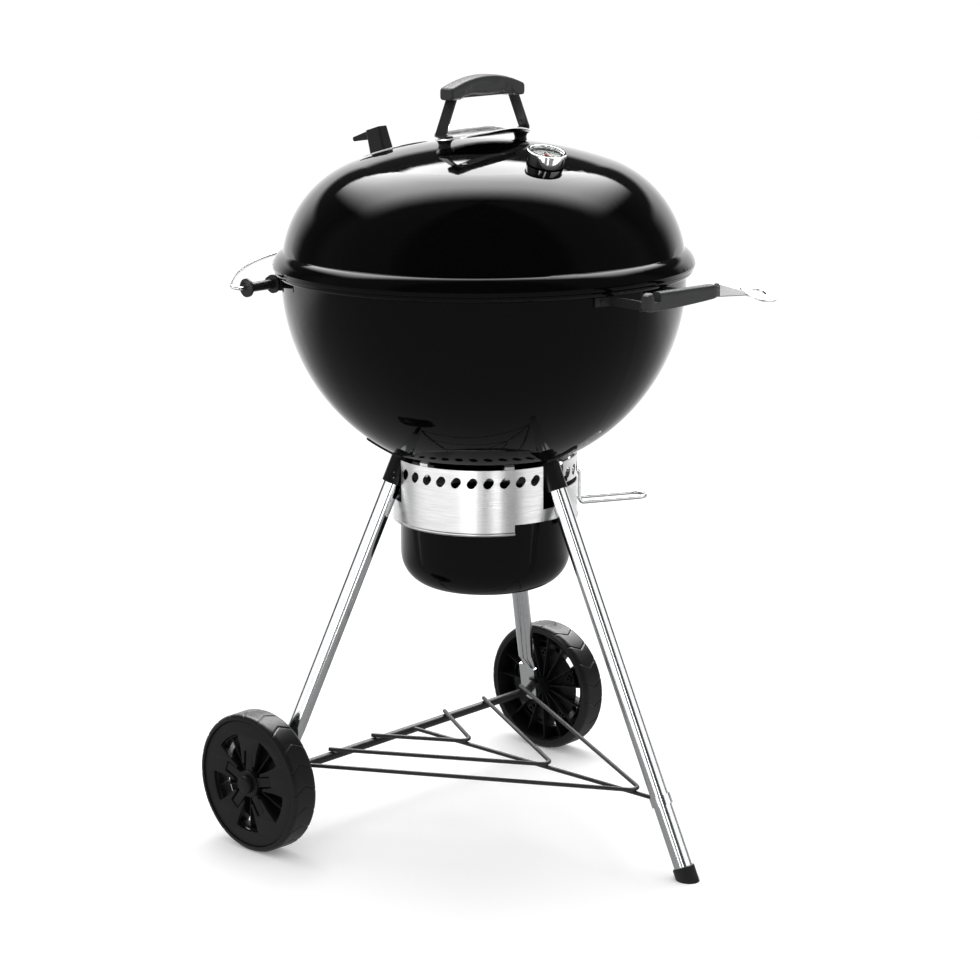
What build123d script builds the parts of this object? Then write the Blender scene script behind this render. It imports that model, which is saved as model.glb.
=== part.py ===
"""Kettle charcoal grill on a tripod stand with two wheels.

Frame: origin on the floor under the bowl's axis, +Z up, +X towards the front leg and the
side handle, +Y along the axle.  All sizes are in millimetres.
"""
import os
from math import acos, asin, atan2, cos, degrees, hypot, radians, sin, sqrt, tan

from build123d import *

# ---------------------------------------------------------------- driving sizes
sheet = 2.0                      # enamelled steel of bowl and lid
fit_gap = 0.3                    # clearance between curved faces of pieces that move apart
running_gap = 0.08               # radial running fit of a wheel or pivot
weld_gap = 0.05                  # skin left between two curved faces that are welded

# bowl
bowl_radius = 283.0              # outside radius at the mouth
bowl_wall_arc = 278.0            # radius of the wall's arc
bowl_crown = 306.0               # radius of the floor's arc
seat_z = 813.0                   # height at which the lid rests on the rim bead
wall_centre_z = seat_z - 12.0    # height of the wall arc's centre
rim_reach = 9.0                  # how far the rim bead stands out of the wall
rim_drop = 8.0                   # height of the rim bead
rim_upstand = 6.0                # lip inside the lid

# lid
lid_radius = 281.5               # outside radius of the dome's shoulder at its widest
lid_shoulder = 152.0             # radius of the shoulder's arc
lid_crown = 549.0                # radius of the crown's arc
lid_shoulder_z = seat_z + 2.0    # height of the shoulder arc's centre
lid_flange = 13.5                # how far the flange stands out of the shoulder
lid_flange_rise = 25.0           # height of the flange
lid_flange_widest = 6.0          # height of its widest line above the seat

# lid damper
damper_azimuth = 184.0
damper_offset = 160.0            # distance of its centre from the lid's axis
damper_disc_radius = 50.0
damper_disc_thick = 1.5
damper_hole_radius = 11.0
damper_hole_ring = 28.0
damper_hole_count = 4
damper_open = 45.0               # turn of the disc from the holes in line, the rest pose
rivet_radius = 4.0
rivet_head = 8.0

# thermometer
dial_azimuth = -14.0
dial_offset = 151.0
dial_radius = 27.0
dial_height = 17.5
dial_wall = 1.5
stem_radius = 3.0
stem_length = 55.0

# lid handle
strap_span = 83.0                # from the lid's axis to a strap foot
strap_width = 18.0
strap_thick = 3.0
grip_bottom_z = 1046.0
grip_half = 74.0
grip_height = 20.0
grip_rise = 12.0                 # arch of the grip's back
grip_width = 25.0
spacer_height = 13.0
spacer_radius = 13.0
shield_half = 92.0
shield_width = 104.0
shield_thick = 1.2
shield_dish = 16.0
bolt_radius = 3.0
screw_radius = 2.2
screw_bite = 6.0

# tripod
leg_radius = 12.7
leg_wall = 1.5
leg_top_r = 136.5                # leg axis: distance from the bowl's axis at the socket mouth
socket_mouth_z = 512.0
foot_reach = 375.0               # front leg axis on the floor
front_azimuth = 0.0
wheel_azimuth = 120.0            # left leg at minus, right leg at plus this angle
socket_radius = 15.5
socket_gap = 0.15
gusset_thick = 2.5
gusset_half = 19.0
gusset_reach = 44.0
button_radius = 4.0
button_up = 12.0                 # above the socket's mouth
socket_length = 62.0
leg_insert = 34.0
button_proud = 2.5
cap_radius = 15.5
cap_height = 19.0
cap_floor = 5.0

# wheels and axle
wheel_radius = 100.0
wheel_width = 42.0
wheel_track = 308.0              # from the middle plane to a wheel's middle
axle_x = -155.0
axle_radius = 6.35
wheel_bore_gap = running_gap
hub_radius = 20.0
tyre_depth = 9.0
rim_barrel = 4.0
wheel_face = 6.0
spoke_count = 5
spoke_angle = 46.0               # angle that one paddle covers
window_inner = 30.0
notch_apart = 14.0               # from a paddle's middle line to each of its slots
notch_middle = 56.0
notch_long = 24.0
notch_wide = 8.0
leg_plate = 7.0                  # thickness of a flattened leg end
leg_plate_half = 15.5
leg_plate_rise = 48.0
leg_taper = 24.0                 # length over which the tube is pressed flat
hub_proud = 8.0                  # hub's reach towards the leg

# wire rack
rack_wire = 3.0
rack_spread = (250.0, 165.0, 78.0)
rack_points = (294.0, 130.0, -28.0)

# bottom vents
vent_count = 3
vent_inner = 34.0
vent_outer = 104.0
vent_angle = 40.0
blade_extra = 4.0                # overlap of a blade past its opening, degrees
blade_thick = 1.5
blade_rest = 24.0                # blade's turn from its opening at rest
shaft_radius = 4.0
lever_azimuth = 62.0
lever_wire = 2.75
lever_half = 16.0
lever_z = 513.5
lever_drop = 48.0
lever_tip = 246.0
lever_back = 40.0                # travel towards the front leg, degrees
lever_forth = 12.0

# ash ring and ash bowl
ring_radius = 131.0
ring_sheet = 1.2
ring_bottom = 455.0
ring_top = 548.0
ring_bead = 2.4
ring_notch_half = 21.0
ring_holes = 10
ring_hole_pitch = 10.0           # degrees
ring_hole_long = 16.5
ring_hole_wide = 12.0
ring_hole_z = 530.0
cut_start = -29.0
cut_end = 8.0
cut_height = 15.0
ash_radius = 121.0
ash_bottom = 358.0
ash_corner = 52.0
ash_sheet = 1.2
ash_rim_z = 474.0
hook_count = 4
hook_azimuth = 17.0
hook_half = 6.0
hook_sheet = 1.4
hook_ledge = 3.6
ash_turn = 30.0                  # turn that brings the lip's notches over the hooks

# grates
coal_radius = 214.0
coal_wire = 3.0
coal_pitch = 22.0
cook_radius = 272.0
cook_wire = 3.0
cook_pitch = 17.5
cook_z = 786.0
flap_line = 168.0                # hinge line of each flap from the middle
flap_gap = 3.0

# side handle
side_grip_x = 353.0
side_grip_half = 75.0
side_grip_thick = 17.0
side_grip_low = 792.0
side_grip_high = 818.0
bracket_y = 64.0
bracket_thick = 3.0
bracket_height = 12.0
bracket_z = 798.5
plate_start = 16.5               # azimuth of a bracket plate's far edge
plate_angle = 5.5
holder_z = 798.0
holder_radius = 26.0
holder_x = 380.0
holder_y = 131.0
holder_tilt = 20.0
holder_bore = 10.0

# lid holder
pivot_x = -211.0
pivot_z = 790.0
hoop_wire = 2.6
roller_inner_y = 204.0
roller_outer_y = 256.0
roller_radius = 6.8
flange_radius = 13.0
flange_thick = 3.0
hairpin_radius = 10.0
hairpin_turn = 135.0
hoop_rise = 10.0                 # tilt of the stowed hoop, degrees

sides = {"left": -1, "right": 1}

os.makedirs("parts", exist_ok=True)


# ---------------------------------------------------------------- helpers
def radial_plane(azimuth):
    """Upright plane through the bowl's axis: x is the distance from it, y is the height."""
    a = radians(azimuth)
    return Plane(origin=(0, 0, 0), x_dir=(cos(a), sin(a), 0), z_dir=(sin(a), -cos(a), 0))


def polar(radius, azimuth, height):
    a = radians(azimuth)
    return Vector(radius * cos(a), radius * sin(a), height)


def save(piece, name):
    piece.part.label = name
    export_step(piece.part, f"parts/{name}.step")


def far_face(plane):
    """Face of the piece being made that lies furthest along a plane's normal."""
    return faces().sort_by(Axis(plane.origin, plane.z_dir))[-1]


def near_face(plane):
    return faces().sort_by(Axis(plane.origin, plane.z_dir))[0]


def bowl_height(radius, inset=0.0):
    """Height of the bowl's skin at a distance from the axis, inset from the outside."""
    arc = bowl_wall_arc - inset
    return wall_centre_z - sqrt(arc**2 - (radius - wall_centre_r)**2)


def lid_height(radius, inset=0.0):
    """Height of the lid's crown at a distance from the axis, inset from the outside."""
    return crown_centre_z + sqrt((lid_crown - inset)**2 - radius**2)


def lid_plane(radius, azimuth, lift=0.0):
    """Plane that touches the lid's crown, with x pointing away from the lid's axis."""
    lean = asin(radius / lid_crown)
    a = radians(azimuth)
    normal = Vector(sin(lean) * cos(a), sin(lean) * sin(a), cos(lean))
    outward = Vector(cos(lean) * cos(a), cos(lean) * sin(a), -sin(lean))
    foot = polar(radius, azimuth, lid_height(radius))
    return Plane(origin=foot + normal * lift, x_dir=outward, z_dir=normal)


def leg_plane(azimuth, height, slope):
    """Plane square to a leg's axis where the axis passes a height; z runs up the leg."""
    a = radians(azimuth)
    reach = leg_top_r + (socket_mouth_z - height) * slope
    up = Vector(-slope * cos(a), -slope * sin(a), 1).normalized()
    side = Vector(-sin(a), cos(a), 0)
    return Plane(origin=polar(reach, azimuth, height), x_dir=side, z_dir=up)


# ---------------------------------------------------------------- worked-out places
wall_centre_r = bowl_radius - bowl_wall_arc
floor_centre_z = wall_centre_z + sqrt((bowl_crown - bowl_wall_arc)**2 - wall_centre_r**2)
floor_lean = degrees(atan2(wall_centre_r, floor_centre_z - wall_centre_z))
bowl_bottom = floor_centre_z - bowl_crown
rim_radius = bowl_radius + rim_reach

shoulder_r = lid_radius - lid_shoulder
crown_centre_z = lid_shoulder_z - sqrt((lid_crown - lid_shoulder)**2 - shoulder_r**2)
crown_lean = degrees(atan2(shoulder_r, lid_shoulder_z - crown_centre_z))
flange_lean = degrees(asin((seat_z + lid_flange_rise - lid_shoulder_z) / lid_shoulder))
flange_radius_out = lid_radius + lid_flange

wheel_leg_reach = abs(axle_x) / cos(radians(180 - wheel_azimuth))
axle_z = wheel_radius
front_slope = (foot_reach - leg_top_r) / socket_mouth_z
wheel_slope = (wheel_leg_reach - leg_top_r) / (socket_mouth_z - axle_z)
spacer_y = strap_span - 6
leg_y = wheel_leg_reach * sin(radians(180 - wheel_azimuth))


# ---------------------------------------------------------------- bowl
def bowl_skin(inset):
    """Floor and wall arcs of the bowl's section, from the axis up to the mouth."""
    CenterArc((0, floor_centre_z), bowl_crown - inset, -90, floor_lean)
    CenterArc((wall_centre_r, wall_centre_z), bowl_wall_arc - inset, floor_lean - 90, 90 - floor_lean)


with BuildPart() as bowl:
    with BuildSketch(Plane.XZ):
        with BuildLine():
            bowl_skin(0)
            bowl_skin(sheet)
            Line((0, bowl_bottom), (0, bowl_bottom + sheet))
            Line((bowl_radius - sheet, wall_centre_z), (bowl_radius, wall_centre_z))
        make_face()
        with Locations((bowl_radius - sheet / 2, (wall_centre_z + seat_z + rim_upstand) / 2)):
            Rectangle(sheet, seat_z + rim_upstand - wall_centre_z)
        with BuildLine():
            FilletPolyline(
                (bowl_radius - sheet / 2, seat_z),
                (rim_radius, seat_z),
                (rim_radius, seat_z - rim_drop),
                (bowl_radius - sheet / 2, seat_z - rim_drop),
                radius=[1.0, rim_drop * 0.75],
            )
            Line((bowl_radius - sheet / 2, seat_z - rim_drop), (bowl_radius - sheet / 2, seat_z))
        make_face()
    revolve(axis=Axis.Z)
    with BuildSketch(Plane.XY.offset(bowl_bottom - 5)):
        Circle(shaft_radius + fit_gap)
    extrude(amount=30, mode=Mode.SUBTRACT)
    for number in range(vent_count):
        with BuildSketch(Plane.XY.offset(bowl_bottom - 5)):
            centre = number * 360 / vent_count
            with BuildLine():
                start, end = centre - vent_angle / 2, centre + vent_angle / 2
                inner = CenterArc((0, 0), vent_inner, start, vent_angle)
                outer = CenterArc((0, 0), vent_outer, start, vent_angle)
                Line(inner @ 0, outer @ 0)
                Line(inner @ 1, outer @ 1)
            make_face()
            fillet(vertices(), 8)
        extrude(amount=60, mode=Mode.SUBTRACT)
save(bowl, "bowl")

# ---------------------------------------------------------------- bottom vents
blade_low = sheet + fit_gap
blade_high = blade_low + blade_thick
blade_inner = shaft_radius + 9
blade_outer = vent_outer + 6

with BuildPart() as vent_blades:
    for number in range(vent_count):
        centre = number * 360 / vent_count + blade_rest
        with BuildSketch(radial_plane(centre - vent_angle / 2 - blade_extra)):
            with BuildLine():
                low = bowl_height(blade_inner, blade_low), bowl_height(blade_outer, blade_low)
                high = bowl_height(blade_inner, blade_high), bowl_height(blade_outer, blade_high)
                middle = (blade_inner + blade_outer) / 2
                ThreePointArc((blade_inner, low[0]), (middle, bowl_height(middle, blade_low)),
                              (blade_outer, low[1]))
                ThreePointArc((blade_inner, high[0]), (middle, bowl_height(middle, blade_high)),
                              (blade_outer, high[1]))
                Line((blade_inner, low[0]), (blade_inner, high[0]))
                Line((blade_outer, low[1]), (blade_outer, high[1]))
            make_face()
        revolve(axis=Axis.Z, revolution_arc=-(vent_angle + 2 * blade_extra))
    hub_z = bowl_height(blade_inner + 2, blade_high)
    with BuildSketch(Plane.XY.offset(bowl_bottom + sheet + fit_gap + 0.6)):
        Circle(blade_inner + 3)
        Circle(shaft_radius, mode=Mode.SUBTRACT)
    extrude(amount=4)
save(vent_blades, "vent_blades")

hub_low = lever_z - lever_wire - 2
with BuildPart() as vent_shaft:
    with BuildSketch(Plane.XY.offset(hub_low)):
        Circle(shaft_radius)
    extrude(amount=bowl_bottom + sheet + 9 - hub_low)
    with BuildSketch(Plane.XY.offset(bowl_bottom + sheet + fit_gap + 4.6)):
        RegularPolygon(radius=8, side_count=6)
    extrude(amount=4.5)
save(vent_shaft, "vent_shaft")

lever_reach = ring_radius + lever_wire + 4
with BuildPart() as vent_lever:
    with BuildSketch(Plane.XY.offset(hub_low)):
        Circle(lever_half + lever_wire + 1)
        Circle(shaft_radius, mode=Mode.SUBTRACT)
    extrude(amount=2 * lever_wire + 2)
    turned = Plane(origin=(0, 0, 0), x_dir=polar(1, lever_azimuth, 0), z_dir=(0, 0, 1))
    with BuildLine(turned):
        near = FilletPolyline(
            (lever_half - 4, -lever_half, lever_z),
            (lever_reach, -lever_half, lever_z),
            (lever_reach, -lever_half, lever_z - lever_drop),
            (lever_tip - lever_half, -lever_half, lever_z - lever_drop),
            radius=7,
        )
        tip = ThreePointArc(
            (lever_tip - lever_half, -lever_half, lever_z - lever_drop),
            (lever_tip, 0, lever_z - lever_drop),
            (lever_tip - lever_half, lever_half, lever_z - lever_drop),
        )
        far = FilletPolyline(
            (lever_tip - lever_half, lever_half, lever_z - lever_drop),
            (lever_reach, lever_half, lever_z - lever_drop),
            (lever_reach, lever_half, lever_z),
            (lever_half - 4, lever_half, lever_z),
            radius=7,
        )
    with BuildSketch(Plane(origin=near @ 0, z_dir=near % 0)):
        Circle(lever_wire)
    sweep()
save(vent_lever, "vent_lever")

# ---------------------------------------------------------------- lid


def lid_skin(inset):
    """Crown and shoulder arcs of the lid's section, from the axis out to the flange."""
    turn = flange_lean - 90 + crown_lean
    crown = CenterArc((0, crown_centre_z), lid_crown - inset, 90, -crown_lean)
    shoulder = CenterArc((shoulder_r, lid_shoulder_z), lid_shoulder - inset, 90 - crown_lean, turn)
    return crown @ 0, shoulder @ 1


widest_z = seat_z + lid_flange_widest
flange_mid = (lid_radius + lid_flange * 0.62, seat_z + lid_flange_rise * 0.7)
damper_plane = lid_plane(damper_offset, damper_azimuth)
dial_plane = lid_plane(dial_offset, dial_azimuth)

with BuildPart() as lid:
    with BuildSketch(Plane.XZ):
        with BuildLine():
            outer_top, outer_foot = lid_skin(0)
            inner_top, inner_foot = lid_skin(sheet)
            Line(outer_top, inner_top)
            ThreePointArc(outer_foot, flange_mid, (flange_radius_out, widest_z))
            ThreePointArc(
                (flange_radius_out, widest_z),
                (flange_radius_out - 0.4, seat_z + 3),
                (flange_radius_out - 1.6, seat_z),
            )
            Line((flange_radius_out - 1.6, seat_z), (rim_radius - 3, seat_z))
            Line((rim_radius - 3, seat_z), (rim_radius - 3, seat_z + sheet))
            Line((rim_radius - 3, seat_z + sheet), (flange_radius_out - 1.6 - sheet, seat_z + sheet))
            ThreePointArc(
                (flange_radius_out - 1.6 - sheet, seat_z + sheet),
                (flange_mid[0] - sheet * 0.8, flange_mid[1] - sheet * 0.8),
                inner_foot,
            )
        make_face()
    revolve(axis=Axis.Z)
    with BuildSketch(damper_plane.offset(-10)):
        Circle(rivet_radius)
        with PolarLocations(damper_hole_ring, damper_hole_count):
            Circle(damper_hole_radius)
    extrude(amount=20, mode=Mode.SUBTRACT)
    with BuildSketch(dial_plane.offset(-10)):
        Circle(stem_radius + 0.5)
    extrude(amount=20, mode=Mode.SUBTRACT)
    with BuildSketch(Plane.XY.offset(lid_height(strap_span) - 12)):
        with Locations((0, -spacer_y), (0, spacer_y)):
            Circle(bolt_radius + 0.2)
    extrude(amount=20, mode=Mode.SUBTRACT)
save(lid, "lid")


def crown_cap(radius, plane, low, high):
    """Block that keeps only what lies between two heights above the lid's crown."""
    with BuildPart() as cap:
        with BuildSketch(Plane.XZ):
            with BuildLine():
                lean = degrees(asin((damper_offset + radius + 20) / lid_crown))
                upper = CenterArc((0, crown_centre_z), lid_crown + high, 90, -lean)
                lower = CenterArc((0, crown_centre_z), lid_crown + low, 90, -lean)
                Line(upper @ 0, lower @ 0)
                Line(upper @ 1, lower @ 1)
            make_face()
        revolve(axis=Axis.Z)
        with BuildSketch(plane.offset(-30)):
            Circle(radius)
        extrude(amount=60, mode=Mode.INTERSECT)
    return cap.part


# The damper sits on the crown, whose sphere it follows, and turns about the crown's normal.
with BuildPart() as damper_disc:
    add(crown_cap(damper_disc_radius, damper_plane, fit_gap, fit_gap + damper_disc_thick))
    with BuildSketch(damper_plane.offset(-10)):
        Circle(rivet_radius + running_gap)
        with PolarLocations(damper_hole_ring, damper_hole_count, start_angle=damper_open):
            Circle(damper_hole_radius)
    extrude(amount=20, mode=Mode.SUBTRACT)
save(damper_disc, "damper_disc")

knob_foot = fit_gap + damper_disc_thick
with BuildPart() as damper_knob:
    with BuildSketch(damper_plane.offset(knob_foot + 0.4)):
        with Locations((26, 0)):
            RectangleRounded(30, 22, 4)
    extrude(amount=36, taper=3)
    with BuildSketch(Plane(origin=damper_plane.from_local_coords((0, 0, 0)),
                           x_dir=damper_plane.x_dir, z_dir=-damper_plane.y_dir)):
        with BuildLine():
            FilletPolyline((34, 24), (67, 29), (67, 35), (34, 37), radius=[2.5, 2.5])
            Line((34, 37), (34, 24))
        make_face()
    extrude(amount=8, both=True)
save(damper_knob, "damper_knob")

with BuildPart() as damper_rivet:
    with BuildSketch(damper_plane.offset(-sheet - 2.4)):
        Circle(rivet_head)
    extrude(amount=2)
    with BuildSketch(damper_plane.offset(-sheet - 1)):
        Circle(rivet_radius)
    extrude(amount=sheet + 1 + knob_foot + 1)
    with BuildSketch(damper_plane.offset(knob_foot + 0.6)):
        Circle(rivet_head)
    extrude(amount=2)
    fillet(far_face(damper_plane).edges(), 1.2)
save(damper_rivet, "damper_rivet")

# ---------------------------------------------------------------- thermometer
dial_seat = 0.8
with BuildPart() as thermometer_housing:
    with BuildSketch(dial_plane.offset(dial_seat)):
        Circle(dial_radius - 1.5)
    extrude(amount=dial_height - 4)
    with BuildSketch(dial_plane.offset(dial_seat + 2)):
        Circle(dial_radius - 1.5 - dial_wall)
    extrude(amount=dial_height, mode=Mode.SUBTRACT)
    with BuildSketch(dial_plane.offset(dial_seat - 1)):
        Circle(stem_radius)
    extrude(amount=4, mode=Mode.SUBTRACT)
save(thermometer_housing, "thermometer_housing")

bezel_z = dial_seat + dial_height - 4
with BuildPart() as thermometer_bezel:
    with BuildSketch(dial_plane.offset(bezel_z)):
        Circle(dial_radius)
        Circle(dial_radius - 4.5, mode=Mode.SUBTRACT)
    extrude(amount=4)
    fillet(far_face(dial_plane).edges(), 1.2)
save(thermometer_bezel, "thermometer_bezel")

with BuildPart() as thermometer_glass:
    with BuildSketch(dial_plane.offset(bezel_z + 0.6)):
        Circle(dial_radius - 4.5)
    extrude(amount=1.6)
save(thermometer_glass, "thermometer_glass")

dial_face_z = dial_seat + 9
with BuildPart() as thermometer_dial:
    with BuildSketch(dial_plane.offset(dial_face_z)):
        Circle(dial_radius - 1.5 - dial_wall)
        Circle(stem_radius / 2 + running_gap, mode=Mode.SUBTRACT)
    extrude(amount=1)
save(thermometer_dial, "thermometer_dial")

with BuildPart() as thermometer_stem:
    with BuildSketch(dial_plane.offset(dial_seat - stem_length)):
        Circle(stem_radius)
    extrude(amount=stem_length + 5)
    fillet(near_face(dial_plane).edges(), 1.5)
save(thermometer_stem, "thermometer_stem")

with BuildPart() as thermometer_needle:
    with BuildSketch(dial_plane.offset(dial_seat + 5 + fit_gap)):
        Circle(stem_radius / 2)
    extrude(amount=dial_face_z + 2 - dial_seat - 5)
    with BuildSketch(dial_plane.offset(dial_face_z + 1.8)):
        Circle(2.8)
        with BuildLine():
            Polyline((-6, -1.4), (16, -0.4), (16, 0.4), (-6, 1.4), close=True)
        make_face()
    extrude(amount=0.8)
save(thermometer_needle, "thermometer_needle")

# ---------------------------------------------------------------- lid handle
strap_foot_z = lid_height(strap_span) + spacer_height
grip_floor = grip_bottom_z + 3
strap_top_y = grip_half - 12
screw_y = strap_top_y - 16

with BuildPart() as heat_shield:
    with BuildSketch(Plane.XZ) as dish:
        with BuildLine():
            shield_z = strap_foot_z - shield_thick - 0.7
            left = (-shield_width / 2 - 6, shield_z + shield_dish)
            right = (shield_width / 2 + 6, shield_z + shield_dish)
            low = ThreePointArc(left, (0, shield_z), right)
            high = ThreePointArc((left[0], left[1] + shield_thick), (0, shield_z + shield_thick),
                                 (right[0], right[1] + shield_thick))
            Line(low @ 0, high @ 0)
            Line(low @ 1, high @ 1)
        make_face()
    extrude(amount=shield_half + 10, both=True)
    with BuildSketch(Plane.XY.offset(shield_z - 20)):
        with BuildLine():
            ThreePointArc((0, -shield_half), (shield_width / 2, 0), (0, shield_half))
            ThreePointArc((0, -shield_half), (-shield_width / 2, 0), (0, shield_half))
        make_face()
        fillet(vertices(), 9)
    extrude(amount=60, mode=Mode.INTERSECT)
    with BuildSketch(Plane.XY.offset(shield_z - 5)):
        with Locations((0, -spacer_y), (0, spacer_y)):
            Circle(bolt_radius + 0.2)
    extrude(amount=20, mode=Mode.SUBTRACT)
save(heat_shield, "heat_shield")

with BuildPart() as shield_spacers:
    for side in (-1, 1):
        foot = Plane(origin=(0, side * spacer_y, lid_height(strap_span) - 3), x_dir=(1, 0, 0),
                     z_dir=(0, -1, 0))
        top = shield_z - foot.origin.Z
        with BuildSketch(foot):
            with BuildLine():
                Polyline((spacer_radius, top), (bolt_radius, top), (bolt_radius, 0), (spacer_radius, 0))
                ThreePointArc((spacer_radius, 0), (spacer_radius * 0.65, top / 2), (spacer_radius, top))
            make_face()
        revolve(axis=Axis((0, side * spacer_y, 0), (0, 0, 1)))
    with Locations((0, 0, crown_centre_z)):
        Sphere(lid_crown + weld_gap, mode=Mode.SUBTRACT)
save(shield_spacers, "shield_spacers")

with BuildPart() as lid_handle_strap:
    with BuildSketch(Plane.YZ):
        with BuildLine():
            FilletPolyline(
                (-strap_span + spacer_radius, strap_foot_z),
                (-strap_span - 6, strap_foot_z),
                (-strap_top_y, grip_floor + strap_thick),
                (strap_top_y, grip_floor + strap_thick),
                (strap_span + 6, strap_foot_z),
                (strap_span - spacer_radius, strap_foot_z),
                radius=[5, 9, 9, 5],
            )
            offset(amount=strap_thick, side=Side.RIGHT)
        make_face()
    extrude(amount=strap_width / 2, both=True)
    with BuildSketch(Plane.XY.offset(strap_foot_z - 5)):
        with Locations((0, -spacer_y), (0, spacer_y)):
            Circle(bolt_radius + 0.2)
    extrude(amount=20, mode=Mode.SUBTRACT)
    with BuildSketch(Plane.XY.offset(grip_floor - 1)):
        with Locations((0, -screw_y), (0, screw_y)):
            Circle(screw_radius + 0.1)
    extrude(amount=strap_thick + 2, mode=Mode.SUBTRACT)
save(lid_handle_strap, "lid_handle_strap")

with BuildPart() as strap_bolts:
    for side in (-1, 1):
        place = Plane((0, side * spacer_y, lid_height(spacer_y) - sheet - 5))
        with BuildSketch(place):
            Circle(bolt_radius)
        extrude(amount=strap_foot_z + strap_thick + 2 - place.origin.Z)
        with BuildSketch(place.offset(1)):
            RegularPolygon(radius=5.5, side_count=6)
        extrude(amount=3.2)
        with BuildSketch(Plane((0, side * spacer_y, strap_foot_z + strap_thick))):
            Circle(5.5)
        extrude(amount=2.6, taper=25)
save(strap_bolts, "strap_bolts")

with BuildPart() as lid_grip:
    with BuildSketch(Plane.YZ):
        with BuildLine():
            grip_top = grip_bottom_z + grip_height
            Polyline((-grip_half, grip_top - 3), (-grip_half, grip_bottom_z), (-grip_half + 22, grip_bottom_z))
            ThreePointArc((-grip_half + 22, grip_bottom_z), (0, grip_bottom_z + 6),
                          (grip_half - 22, grip_bottom_z))
            Polyline((grip_half - 22, grip_bottom_z), (grip_half, grip_bottom_z), (grip_half, grip_top - 3))
            ThreePointArc((grip_half, grip_top - 3), (0, grip_top + grip_rise), (-grip_half, grip_top - 3))
        make_face()
        fillet(vertices(), 4)
    extrude(amount=grip_width / 2, both=True)
    fillet(edges().group_by(Axis.X)[-1] + edges().group_by(Axis.X)[0], 2)
    with BuildSketch(Plane.XY.offset(grip_bottom_z - 1)):
        with Locations((0, -strap_top_y), (0, strap_top_y)):
            Rectangle(strap_width + 1, 11)
        Rectangle(strap_width + 1, 2 * strap_top_y)
    extrude(amount=strap_thick + 4.5, mode=Mode.SUBTRACT)
    with BuildSketch(Plane.XY.offset(grip_floor)):
        with Locations((0, -screw_y), (0, screw_y)):
            Circle(screw_radius + 0.1)
    extrude(amount=strap_thick + screw_bite + 0.5, mode=Mode.SUBTRACT)
save(lid_grip, "lid_grip")

with BuildPart() as grip_screws:
    for side in (-1, 1):
        with BuildSketch(Plane((0, side * screw_y, grip_floor - 2.4))):
            Circle(screw_radius * 2.2)
        extrude(amount=2.4)
        with BuildSketch(Plane((0, side * screw_y, grip_floor - 0.5))):
            Circle(screw_radius)
        extrude(amount=strap_thick + screw_bite)
save(grip_screws, "grip_screws")

# ---------------------------------------------------------------- tripod
legs = {
    "front": (front_azimuth, front_slope),
    "left": (-wheel_azimuth, wheel_slope),
    "right": (wheel_azimuth, wheel_slope),
}


def bowl_blank(swell):
    """Solid filled to the bowl's outside and swollen, for trimming what is welded to it."""
    with BuildPart() as blank:
        with BuildSketch(Plane.XZ):
            with BuildLine():
                crown = CenterArc((0, floor_centre_z), bowl_crown + swell, -90, floor_lean)
                wall = CenterArc((wall_centre_r, wall_centre_z), bowl_wall_arc + swell,
                                 floor_lean - 90, 90 - floor_lean)
                Polyline(wall @ 1, (0, wall_centre_z), crown @ 0)
            make_face()
        revolve(axis=Axis.Z)
    return blank.part


bowl_outside = bowl_blank(weld_gap)
gusset_outside = bowl_blank(gusset_thick)


def turned_corners(azimuth, corners):
    """Corners given as distance out and distance across, turned to an azimuth."""
    a = radians(azimuth)
    return [(out * cos(a) - across * sin(a), out * sin(a) + across * cos(a)) for out, across in corners]


for name, (azimuth, slope) in legs.items():
    mouth = leg_plane(azimuth, socket_mouth_z, slope)
    inner_reach = leg_top_r - gusset_half
    outline = [
        (inner_reach, -gusset_half),
        (leg_top_r, -gusset_half),
        (leg_top_r + gusset_reach, 0),
        (leg_top_r, gusset_half),
        (inner_reach, gusset_half),
    ]
    with BuildPart() as socket:
        with BuildSketch(Plane.XY.offset(bowl_bottom)):
            with BuildLine():
                FilletPolyline(*turned_corners(azimuth, outline), radius=[4, 9, 5, 9, 4], close=True)
            make_face()
        extrude(amount=120)
        add(gusset_outside, mode=Mode.INTERSECT)
        with BuildSketch(mouth):
            Circle(socket_radius)
        extrude(amount=socket_length)
        with BuildSketch(mouth.offset(-1)):
            Circle(leg_radius + socket_gap)
        extrude(amount=socket_length + 2, mode=Mode.SUBTRACT)
        add(bowl_outside, mode=Mode.SUBTRACT)
        button_axis = Plane(origin=mouth.offset(button_up).origin,
                            z_dir=mouth.x_dir * sin(radians(60)) - mouth.y_dir * cos(radians(60)))
        with BuildSketch(button_axis):
            Circle(button_radius + 0.4)
        extrude(amount=socket_radius + 5, mode=Mode.SUBTRACT)
    save(socket, f"leg_socket_{name}")

with BuildPart() as snap_buttons:
    for azimuth, slope in legs.values():
        mouth = leg_plane(azimuth, socket_mouth_z, slope)
        button_axis = Plane(origin=mouth.offset(button_up).origin,
                            z_dir=mouth.x_dir * sin(radians(60)) - mouth.y_dir * cos(radians(60)))
        with BuildSketch(button_axis.offset(leg_radius)):
            Circle(button_radius)
        extrude(amount=socket_radius - leg_radius + button_proud)
save(snap_buttons, "snap_buttons")


def leg_tube(azimuth, slope, low_z):
    """Hollow tube on a leg's axis from a height up into its socket."""
    base = leg_plane(azimuth, low_z, slope)
    length = (socket_mouth_z - low_z) * hypot(1, slope) + leg_insert
    with BuildPart() as tube:
        with BuildSketch(base):
            Circle(leg_radius)
            Circle(leg_radius - leg_wall, mode=Mode.SUBTRACT)
        extrude(amount=length)
        add(bowl_outside, mode=Mode.SUBTRACT)
    return tube.part


with BuildPart() as leg_front:
    add(leg_tube(front_azimuth, front_slope, cap_floor + 6))
save(leg_front, "leg_front")

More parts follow.
